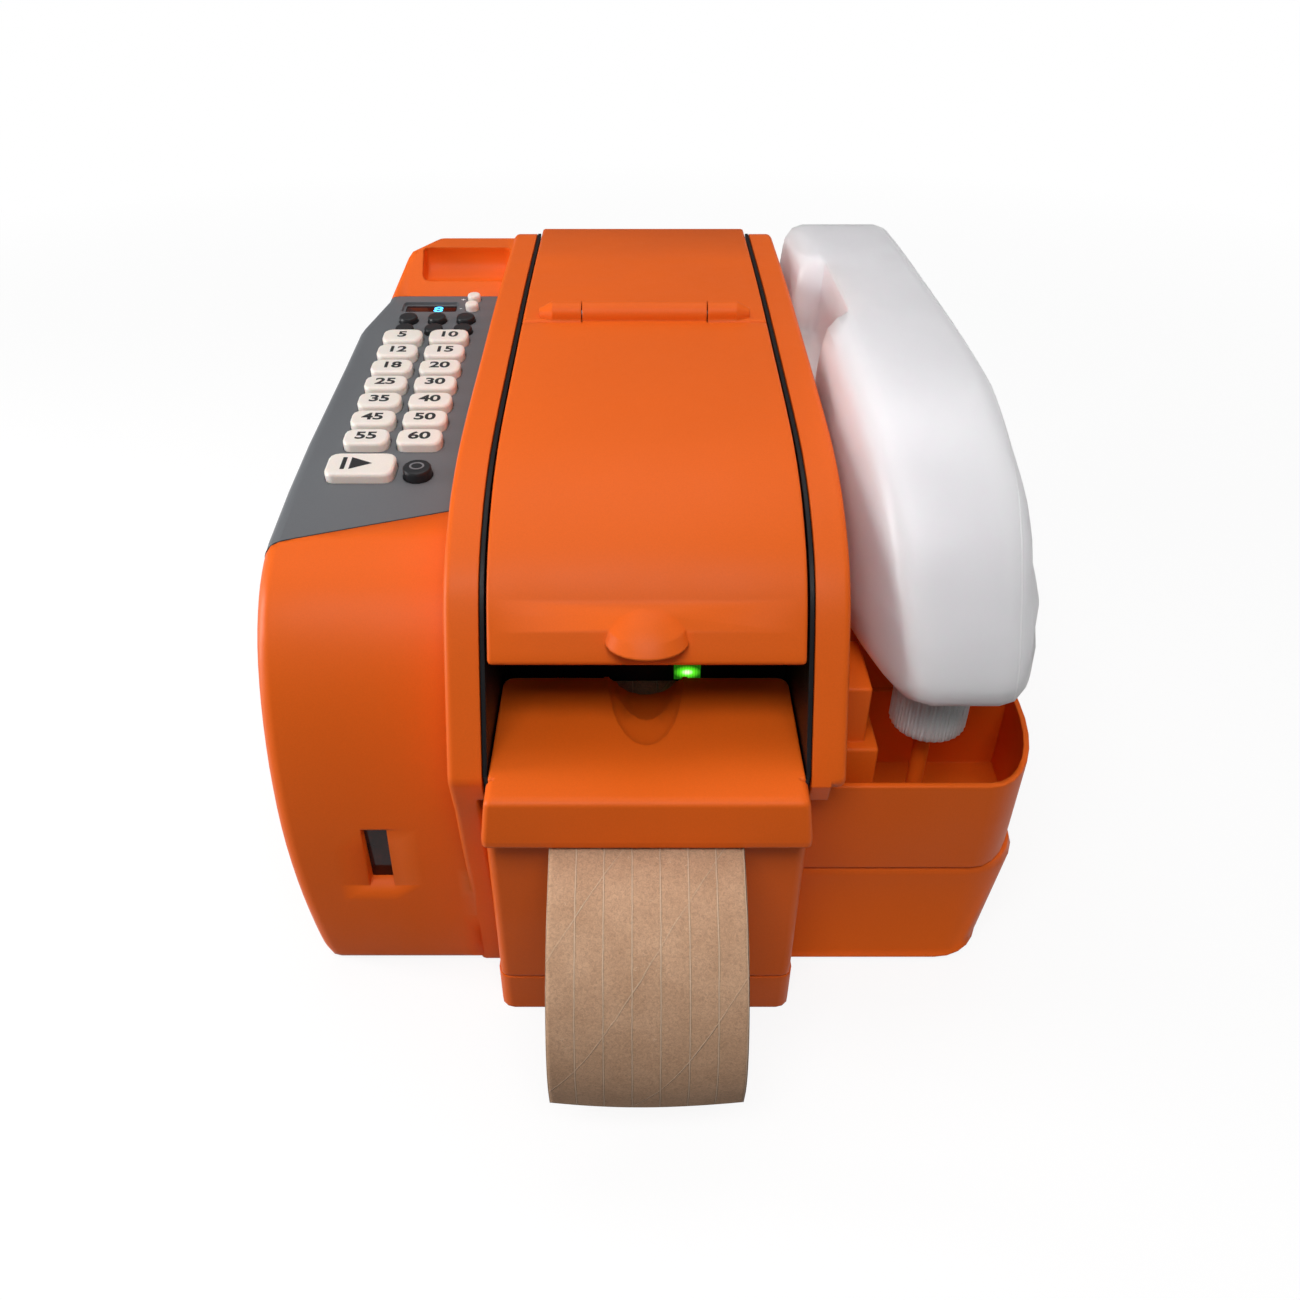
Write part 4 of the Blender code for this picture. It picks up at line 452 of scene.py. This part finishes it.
def wound_paper():
    """The tape roll: paper edges in rings on its two flat sides, and kraft paper round it."""
    made, tree, shader = new_material("tape_roll_kraft")
    centred = place_from_middle(tree, "tape_roll")
    parts = parts_of(tree, centred)
    flat = node(tree, "CombineXYZ", {"X": 0.0, "Y": parts["Y"], "Z": parts["Z"]}).outputs["Vector"]
    radius = node(tree, "VectorMath", {0: flat}, operation="LENGTH").outputs["Value"]
    rings = node(tree, "CombineXYZ", {"X": radius, "Y": 0.0, "Z": 0.0}).outputs["Vector"]
    layer = noise(tree, rings, 2600.0, 4.0, 0.8)
    broad = noise(tree, rings, 220.0, 2.0, 0.6)
    edge = ramp(tree, layer, ((0.3, (0.40, 0.27, 0.165)), (0.7, (0.62, 0.46, 0.31))))
    edge = mixed(tree, 0.5, edge, ramp(tree, broad, ((0.3, 0.75), (0.7, 1.0))), "MULTIPLY")
    fibres = noise(tree, centred, 900.0, 4.0, 0.7, 1.2)
    face = ramp(tree, fibres, ((0.32, (0.40, 0.26, 0.165)), (0.65, (0.56, 0.39, 0.26))))
    normal_x = parts_of(tree, node(tree, "NewGeometry").outputs["Normal"])["X"]
    side = ramp(tree, math_of(tree, "ABSOLUTE", normal_x), ((0.4, 0.0), (0.6, 1.0)))
    height = math_of(tree, "ADD", times(tree, layer, side), times(tree, fibres, 0.5))
    set_inputs(
        tree, shader,
        Base_Color=mixed(tree, side, face, edge),
        Roughness=ramp(tree, fibres, ((0.3, 0.80), (0.7, 0.92))),
        Normal=bumped(tree, None, height, 0.5, 0.0002),
        Specular_IOR_Level=0.25,
    )
    return made


def brushed_metal(name, colour, roughness):
    """Metal brushed along X."""
    made, tree, shader = new_material(name)
    streaks = noise(tree, place_of(tree, scale=(4.0, 900.0, 900.0)), 1.0, 4.0, 0.65)
    patches = noise(tree, place_of(tree), 35.0, 3.0)
    dark = tuple(c * 0.82 for c in colour)
    set_inputs(
        tree, shader,
        Base_Color=ramp(tree, streaks, ((0.3, dark), (0.7, colour))),
        Roughness=ramp(tree, patches, ((0.3, roughness - 0.05), (0.7, roughness + 0.08))),
        Normal=bumped(tree, soft_normal(tree, 0.0004), streaks, 0.25, 0.00005),
        Metallic=1.0,
    )
    return made


def painted_steel():
    """Black powder-coated sheet steel with a fine orange-peel surface."""
    made, tree, shader = new_material("plate_black")
    place = place_of(tree)
    peel = noise(tree, place, 900.0, 3.0, 0.6)
    cloudy = noise(tree, place, 15.0, 3.0)
    set_inputs(
        tree, shader,
        Base_Color=ramp(tree, cloudy, ((0.3, (0.003, 0.003, 0.004)), (0.7, (0.007, 0.007, 0.009)))),
        Roughness=ramp(tree, peel, ((0.3, 0.40), (0.7, 0.52))),
        Normal=bumped(tree, soft_normal(tree, 0.0006), peel, 0.3, 0.00008),
        Specular_IOR_Level=0.25,
    )
    return made


def rubber():
    made, tree, shader = new_material("rubber_black")
    place = place_of(tree)
    fine = noise(tree, place, 1200.0, 3.0, 0.7)
    dust = noise(tree, place, 80.0, 5.0, 0.7)
    set_inputs(
        tree, shader,
        Base_Color=ramp(tree, dust, ((0.45, (0.022, 0.022, 0.022)), (0.8, (0.07, 0.068, 0.065)))),
        Roughness=ramp(tree, dust, ((0.3, 0.70), (0.7, 0.90))),
        Normal=bumped(tree, soft_normal(tree, 0.0006), fine, 0.35, 0.00012),
    )
    return made


def dark_lens():
    """Smoked window with a faint red tint and fine scratches."""
    made, tree, shader = new_material("lens_dark")
    scratch = noise(tree, place_of(tree, scale=(1.0, 6.0, 1.0)), 300.0, 4.0, 0.7)
    tint = noise(tree, place_of(tree), 120.0, 2.0)
    set_inputs(
        tree, shader,
        Base_Color=ramp(tree, tint, ((0.3, (0.010, 0.005, 0.005)), (0.7, (0.050, 0.010, 0.007)))),
        Roughness=ramp(tree, scratch, ((0.4, 0.05), (0.8, 0.16))),
        Specular_IOR_Level=0.15, Coat_Weight=0.15, Coat_Roughness=0.08,
    )
    return made


def lit_lamp():
    """Green light pipe, brightest in its middle."""
    made, tree, shader = new_material("lamp_green")
    place = place_from_middle(tree, "ready_lamp")
    shrunk = node(tree, "Mapping", {"Vector": place, "Scale": (160.0, 160.0, 260.0)}).outputs["Vector"]
    glow = node(tree, "TexGradient", {"Vector": shrunk}, gradient_type="SPHERICAL").outputs["Fac"]
    ribs = node(tree, "TexWave", {
        "Vector": place, "Scale": 260.0, "Distortion": 2.0, "Detail": 2.0,
    }, bands_direction="X").outputs["Fac"]
    colour = ramp(tree, glow, (
        (0.0, (0.01, 0.12, 0.004)), (0.50, (0.10, 0.80, 0.02)), (0.85, (0.85, 1.0, 0.65)),
    ))
    inner = ramp(tree, glow, ((0.0, 0.5), (1.0, 1.0)))
    banded = ramp(tree, ribs, ((0.0, 1.2), (1.0, 2.2)))
    set_inputs(
        tree, shader,
        Base_Color=colour, Emission_Color=colour, Emission_Strength=times(tree, inner, banded),
        Roughness=0.25,
    )
    return made


def circuit():
    """Solder mask with lighter tracks and pads."""
    made, tree, shader = new_material("board_green")
    place = place_of(tree)
    cells = node(tree, "TexBrick", {
        "Vector": place, "Scale": 120.0, "Mortar Size": 0.06, "Color1": (0.015, 0.13, 0.05, 1.0),
        "Color2": (0.012, 0.10, 0.045, 1.0), "Mortar": (0.03, 0.24, 0.10, 1.0),
    })
    set_inputs(
        tree, shader,
        Base_Color=cells.outputs["Color"],
        Roughness=ramp(tree, noise(tree, place, 200.0), ((0.3, 0.3), (0.7, 0.45))),
        Normal=bumped(tree, None, cells.outputs["Fac"], 0.3, 0.0001),
    )
    return made


def printed(name, colour, roughness=0.5, glow=0.0):
    """Printing ink, slightly uneven where it was pressed on."""
    made, tree, shader = new_material(name)
    patches = noise(tree, place_of(tree), 900.0, 3.0, 0.6)
    light = tuple(min(1.0, c * 1.15 + 0.01) for c in colour)
    base = ramp(tree, patches, ((0.35, colour), (0.75, light)))
    rough = ramp(tree, patches, ((0.3, roughness - 0.06), (0.7, roughness + 0.08)))
    set_inputs(tree, shader, Base_Color=base, Roughness=rough)
    if glow:
        set_inputs(tree, shader, Emission_Color=base, Emission_Strength=glow)
    return made


def new_object(name, data):
    obj = bpy.data.objects.new(name, data)
    bpy.context.scene.collection.objects.link(obj)
    return obj


def piece(name, shape, look, body):
    """A smooth-shaded object that rides on a body of the machine."""
    mesh = bpy.data.meshes.new(name)
    shape.to_mesh(mesh)
    shape.free()
    mesh.materials.append(look)
    mesh.shade_smooth()
    obj = new_object(name, mesh)
    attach(obj, body)
    return obj


def surface_samples(mesh):
    """Points spread over a mesh's faces, with the normal and the area that each stands for."""
    mesh.calc_loop_triangles()
    places = []
    normals = []
    areas = []
    for triangle in mesh.loop_triangles:
        corners = [mesh.vertices[i].co for i in triangle.vertices]
        longest = max((corners[i] - corners[i - 1]).length for i in range(3))
        cuts = min(SAMPLE_CUTS, 1 + int(longest / SAMPLE_SPACING))
        for i in range(cuts):
            for j in range(2 * (cuts - i) - 1):
                u = (i + (1 + j % 2) / 3) / cuts
                v = (j // 2 + (1 + j % 2) / 3) / cuts
                places.append(corners[0] * (1 - u - v) + corners[1] * u + corners[2] * v)
                normals.append(triangle.normal)
                areas.append(triangle.area / cuts ** 2)
    return places, np.array(normals), np.array(areas)


def flow(mesh, reach):
    """Give the facets the normals of the wide curve that they stand for."""
    places, normals, areas = surface_samples(mesh)
    tree = KDTree(len(places))
    for i, place in enumerate(places):
        tree.insert(place, i)
    tree.balance()
    kept = {}
    result = []
    limit = math.cos(BEND_LIMIT)
    for loop, corner in zip(mesh.loops, mesh.corner_normals):
        own = corner.vector.copy()
        key = (loop.vertex_index, tuple(round(c, 4) for c in own))
        if key not in kept:
            found = tree.find_range(mesh.vertices[loop.vertex_index].co, reach)
            near = np.array([f[1] for f in found], dtype=int)
            away = np.array([f[2] for f in found])
            alike = normals[near] @ np.array(own)
            weight = areas[near] * (1 - (away / reach) ** 2) * (alike > limit)
            total = Vector((weight[:, None] * normals[near]).sum(0))
            kept[key] = total.normalized() if total.length > 0 else own
        result.append(kept[key])
    mesh.normals_split_custom_set(result)


def dress(look, slot, *names, reach=0.0, cuts=()):
    """Each node's own surface, with its curves shaded smooth and its creases kept, in the node's place."""
    for name in names:
        shape = bmesh.new()
        shape.from_mesh(FRAME["nodes"][name].data)
        bmesh.ops.remove_doubles(shape, verts=shape.verts, dist=WELD_DISTANCE)
        bmesh.ops.dissolve_limit(shape, angle_limit=FLAT_ANGLE, verts=shape.verts, edges=shape.edges)
        for x in cuts:
            everything = shape.verts[:] + shape.edges[:] + shape.faces[:]
            bmesh.ops.bisect_plane(
                shape, geom=everything, plane_co=(x, 0.0, 0.0), plane_no=(1.0, 0.0, 0.0),
            )
        skin = piece(name + "_skin", shape, look, FRAME["nodes"][name]["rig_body"])
        skin.data.set_sharp_from_angle(angle=CREASE_ANGLE)
        if reach:
            flow(skin.data, reach)
        else:
            weights = skin.modifiers.new("flat faces stay flat", "WEIGHTED_NORMAL")
            weights.keep_sharp = True
        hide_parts(name)


def smooth_line(points, steps):
    """A flowing line through the points, which it keeps."""
    line = []
    for i in range(len(points) - 1):
        a = points[max(i - 1, 0)]
        b = points[i]
        c = points[i + 1]
        d = points[min(i + 2, len(points) - 1)]
        for k in range(steps):
            t = k / steps
            place = []
            for p, q, r, s in zip(a, b, c, d):
                bend = (2 * p - 5 * q + 4 * r - s) * t * t
                turn = (3 * q - p - 3 * r + s) * t ** 3
                place.append((2 * q + (r - p) * t + bend + turn) / 2)
            line.append(tuple(place))
    line.append(points[-1])
    return line


def direction_at(line, i):
    """The way that a line of points runs at one of them."""
    return (Vector(line[min(i + 1, len(line) - 1)]) - Vector(line[max(i - 1, 0)])).normalized()


def strip_rows(shape, line, lengths):
    """The strip's vertices, row by row from the shear, each row from left to right."""
    rows = []
    for i, (y, z) in enumerate(line):
        along = direction_at(line, i)
        out = Vector((along.y, -along.x))
        free = max(0.0, lengths[i] / lengths[-1] - STRIP_FLAT) / (1.0 - STRIP_FLAT)
        half = STRIP_HALF * (1.0 - STRIP_WAIST * math.sin(math.pi * free))
        row = []
        for k in range(STRIP_COLUMNS + 1):
            u = 2.0 * k / STRIP_COLUMNS - 1.0
            wave = STRIP_WAVE * free * math.sin(lengths[i] * WAVE_ALONG + u * WAVE_ACROSS)
            lift = wave - STRIP_CURL * free * (u * u)
            row.append(shape.verts.new((u * half, y + out.x * lift, z + out.y * lift)))
        rows.append(row)
    return rows


def make_strip(look):
    """The dispensed strip, with curled edges and a free end that waves a little."""
    line = smooth_line(STRIP_LINE, STRIP_STEPS)
    lengths = [0.0]
    for (y0, z0), (y1, z1) in zip(line, line[1:]):
        lengths.append(lengths[-1] + math.hypot(y1 - y0, z1 - z0))
    shape = bmesh.new()
    uv_layer = shape.loops.layers.uv.new("paper")
    rows = strip_rows(shape, line, lengths)
    for i in range(len(rows) - 1):
        for k in range(STRIP_COLUMNS):
            corners = ((i, k), (i, k + 1), (i + 1, k + 1), (i + 1, k))
            face = shape.faces.new([rows[row][column] for row, column in corners])
            for loop, (row, column) in zip(face.loops, corners):
                loop[uv_layer].uv = (STRIP_HALF * (2.0 * column / STRIP_COLUMNS - 1.0), lengths[row])
    strip = piece("paper_strip", shape, look, "frame")
    thick = strip.modifiers.new("thickness", "SOLIDIFY")
    thick.thickness = STRIP_THICK
    thick.offset = 0.0
    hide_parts("tape_strip")


def make_joint_line(look):
    """A thin black tube laid in the joint between the keyboard and the housing in front of it: painted shadow
    where the narrow gap holds shade.
    """
    line = smooth_line(JOINT_LINE, JOINT_STEPS)
    turns = [math.tau * k / JOINT_SIDES for k in range(JOINT_SIDES)]
    shape = bmesh.new()
    rings = []
    for i, point in enumerate(line):
        along = direction_at(line, i)
        side = along.cross(Vector(JOINT_UP)).normalized()
        up = side.cross(along)
        spokes = [math.cos(turn) * side + math.sin(turn) * up for turn in turns]
        rings.append([shape.verts.new(Vector(point) + JOINT_RADIUS * spoke) for spoke in spokes])
    for near, far in zip(rings, rings[1:]):
        for k in range(JOINT_SIDES):
            after = (k + 1) % JOINT_SIDES
            shape.faces.new((near[k], near[after], far[after], far[k]))
    shape.faces.new(rings[0][::-1])
    shape.faces.new(rings[-1])
    piece("keyboard_joint_painted_shadow", shape, look, "frame")


def panel_place(x, y, height):
    """Placement at a height over the keyboard's surface, with Z square to it."""
    slope = math.atan2(PANEL_REAR_Z - PANEL_FRONT_Z, PANEL_REAR_Y - PANEL_FRONT_Y)
    z = PANEL_FRONT_Z + math.tan(slope) * (y - PANEL_FRONT_Y)
    lift = Matrix.Translation((0, 0, height + LEGEND_LIFT))
    return Matrix.Translation((x, y, z)) @ Matrix.Rotation(slope, 4, "X") @ lift


def legend(name, words, lettering, place, look, body):
    """Printed figures as thin raised ink."""
    size, bold, wide = lettering
    text = bpy.data.curves.new(name, "FONT")
    text.body = words
    text.size = size
    text.align_x = "CENTER"
    text.align_y = "CENTER"
    text.offset = bold
    text.extrude = LEGEND_LIFT / 2
    draft = new_object(name + "_draft", text)
    graph = bpy.context.evaluated_depsgraph_get()
    mesh = bpy.data.meshes.new_from_object(draft.evaluated_get(graph))
    bpy.data.objects.remove(draft)
    mesh.transform(place @ Matrix.Diagonal((wide, 1.0, 1.0, 1.0)))
    mesh.materials.clear()
    mesh.materials.append(look)
    obj = new_object(name, mesh)
    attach(obj, body)


def ring_outline(wide, high):
    turns = [math.tau * i / RING_SIDES for i in range(RING_SIDES)]
    return [(wide * math.cos(turn), high * math.sin(turn)) for turn in turns]


def key_centre(name):
    return middle_of(name)[:2]


def ink_corners(shape, outline, place):
    return [shape.verts.new(place @ Vector((u, v, LEGEND_LIFT))) for u, v in outline]


def make_start_arrow(ink):
    """The arrow with its bar on the start key."""
    place = panel_place(*key_centre("start_key"), KEY_TOP)
    shape = bmesh.new()
    for outline in (START_ARROW, START_BAR):
        shape.faces.new(ink_corners(shape, outline, place))
    piece("start_arrow", shape, ink, "start_key_body")


def make_stop_ring(ink):
    """The ring on the stop button."""
    place = panel_place(*key_centre("stop_button"), STOP_TOP)
    shape = bmesh.new()
    outer, inner = (ink_corners(shape, ring_outline(*half), place) for half in (STOP_OUTER, STOP_INNER))
    for i in range(RING_SIDES):
        j = (i + 1) % RING_SIDES
        shape.faces.new((outer[i], outer[j], inner[j], inner[i]))
    piece("stop_ring", shape, ink, "stop_button_body")


def make_legends(ink, white_ink, grey_ink, glow):
    """Figures on the keys, by the buttons and in the display, the start arrow and the stop ring."""
    for i, number in enumerate(KEY_NUMBERS):
        key = f"length_key_{i + 1:02d}"
        place = panel_place(*key_centre(key), KEY_TOP)
        figure = f"figure_{i + 1:02d}"
        legend(figure, str(number), KEY_LETTERING, place, ink, key + "_body")
    make_start_arrow(ink)
    make_stop_ring(grey_ink)
    for i in range(MODE_BUTTONS):
        x, y = key_centre(f"mode_button_{i + 1}")
        place = panel_place(x, y + MODE_BEHIND, 0.0)
        legend(f"mode_figure_{i + 1}", str(i + 1), MODE_LETTERING, place, white_ink, "frame")
    for i, sign in enumerate(ADJUST_SIGNS):
        x, y = key_centre(f"adjust_button_{i + 1}")
        place = panel_place(x - SIGN_BESIDE, y + SIGN_BEHIND, 0.0)
        legend(f"adjust_sign_{i + 1}", sign, SIGN_LETTERING, place, white_ink, "frame")
    low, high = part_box("display_window")
    place = panel_place((low.x + high.x) / 2 + DIGIT_BESIDE, (low.y + high.y) / 2, DISPLAY_TOP)
    legend("display_figure", DISPLAY_DIGIT, DISPLAY_LETTERING, place, glow, "frame")


def make_floor():
    """A plain pale floor that shows white behind the machine and keeps its shadow."""
    mesh = bpy.data.meshes.new("floor")
    corners = [(FLOOR_HALF * x, FLOOR_HALF * y, 0) for x, y in ((-1, -1), (1, -1), (1, 1), (-1, 1))]
    mesh.from_pydata(corners, [], [(0, 1, 2, 3)])
    floor = new_object("floor", mesh)
    made, tree, shader = new_material("floor_white")
    light = node(tree, "LightPath").outputs
    paper = noise(tree, place_of(tree), 40.0, 3.0)
    pale = ramp(tree, paper, ((0.3, 0.13), (0.7, 0.15)))
    base = mixed(tree, light["Is Camera Ray"], pale, WHITE)
    set_inputs(tree, shader, Base_Color=base, Roughness=0.9, Specular_IOR_Level=0.0)
    white = node(tree, "Emission", {"Color": (*WHITE, 1.0), "Strength": 1.0})
    seen = math_of(tree, "MAXIMUM", light["Is Camera Ray"], light["Is Glossy Ray"])
    seen = math_of(tree, "MAXIMUM", seen, light["Is Transmission Ray"])
    away = node(tree, "VectorMath", {0: place_of(tree)}, operation="LENGTH").outputs["Value"]
    share = times(tree, seen, fade(tree, away, FLOOR_NEAR, FLOOR_FAR, FLOOR_WHITE, 1.0))
    mix = node(tree, "MixShader", {0: share, 1: shader.outputs["BSDF"], 2: white.outputs["Emission"]})
    feed(tree, tree.nodes["Material Output"].inputs["Surface"], mix.outputs["Shader"])
    mesh.materials.append(made)


def make_world():
    """Soft light that is strongest from above and weak from the sides, with a white background."""
    world = bpy.data.worlds.new("studio")
    bpy.context.scene.world = world
    world.use_nodes = True
    tree = world.node_tree
    light = node(tree, "LightPath").outputs
    seen = math_of(tree, "MAXIMUM", light["Is Camera Ray"], light["Is Transmission Ray"])
    height = parts_of(tree, node(tree, "TexCoord").outputs["Generated"])["Z"]
    level = fade(tree, height, 0.0, 1.0, SIDE_LIGHT, TOP_LIGHT)
    strength = node(tree, "Mix", {0: seen, 2: level, 3: 1.0}, data_type="FLOAT")
    set_inputs(tree, tree.nodes["Background"], Color=(*WHITE, 1.0), Strength=strength.outputs[0])


def make_lights():
    for name, place, aim, (width, depth), power in LAMPS:
        lamp = bpy.data.lights.new(name, "AREA")
        lamp.shape = "RECTANGLE"
        lamp.size = width
        lamp.size_y = depth
        lamp.energy = power
        obj = new_object(name, lamp)
        obj.location = place
        obj.rotation_euler = (Vector(aim) - Vector(place)).to_track_quat("-Z", "Y").to_euler()


def make_camera():
    data = bpy.data.cameras.new("camera")
    data.sensor_width = SENSOR
    data.lens = SENSOR * FOCAL_PIXELS / PHOTO_PIXELS
    data.shift_x = AXIS_SHIFT_PIXELS / PHOTO_PIXELS
    data.clip_start = 0.01
    camera = new_object("camera", data)
    camera.location = CAMERA_PLACE
    camera.rotation_euler = (math.radians(90.0 - CAMERA_PITCH), 0.0, 0.0)
    bpy.context.scene.camera = camera


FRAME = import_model()
bpy.context.scene.view_settings.view_transform = "Standard"
make_camera()
make_world()
make_lights()
make_floor()

orange = orange_case()
keys = [f"length_key_{i + 1:02d}" for i in range(len(KEY_NUMBERS))]
modes = [f"mode_button_{i + 1}" for i in range(MODE_BUTTONS)]
window_left, window_right = (corner.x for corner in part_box("sensor_window"))
even_cuts = (
    window_left - CUT_AWAY, window_left, window_right, window_right + CUT_AWAY, window_right + 2 * CUT_AWAY,
)
dress(orange, "case", "left_housing", reach=WIDE_REACH, cuts=even_cuts)
dress(orange, "case", "right_housing", "right_bezel", "rear_cover", "water_tray", reach=SOFT_REACH)
dress(orange, "case", "access_door", reach=SMALL_REACH)
dress(orange, "case", "base_pan", "heater_cover", "front_housing", "valve_post")
dress(grey_panel(), "panel", "keyboard_panel")
dress(cream_keys(), "key", *keys, "start_key", "adjust_button_1", "adjust_button_2")
dress(black_plastic("button_black"), "black_button", *modes, "stop_button")
dress(black_plastic("tank_black", 0.5), "tank", "water_tank", "brush")
dress(
    painted_steel(), "plate",
    "side_plate_left", "side_plate_right", "bulkhead", "feed_motor", "blade_solenoid",
)
dress(milky_plastic("bottle_white", seam=True), "bottle", "water_bottle", reach=SOFT_REACH)
dress(milky_plastic("cap_white", ribs=True), "bottle", "bottle_cap")
dress(wound_paper(), "kraft", "tape_roll")
dress(kraft_paper("tape_web_kraft", "Object"), "kraft", "tape_web")
dress(
    brushed_metal("steel", STEEL, 0.28), "steel",
    "hinge_pin", "heater_plate", "basket_roller_front", "basket_roller_rear", "fixed_blade", "moving_blade",
)
dress(rubber(), "rubber", "feed_wheel", "pressure_roller", "valve_plunger")
dress(dark_lens(), "lens", "display_window", "sensor_window")
dress(lit_lamp(), "lamp", "ready_lamp")
dress(circuit(), "board", "circuit_board")
make_strip(kraft_paper("tape_strip_kraft", "UV"))
make_legends(
    printed("ink_black", INK_BLACK), printed("ink_white", INK_WHITE), printed("ink_grey", INK_GREY),
    printed("display_glow", DISPLAY_BLUE, 0.3, 2.5),
)
# Painted shadow: a black tube that darkens the keyboard's front joint
make_joint_line(black_plastic("joint_painted_shadow", 0.6))
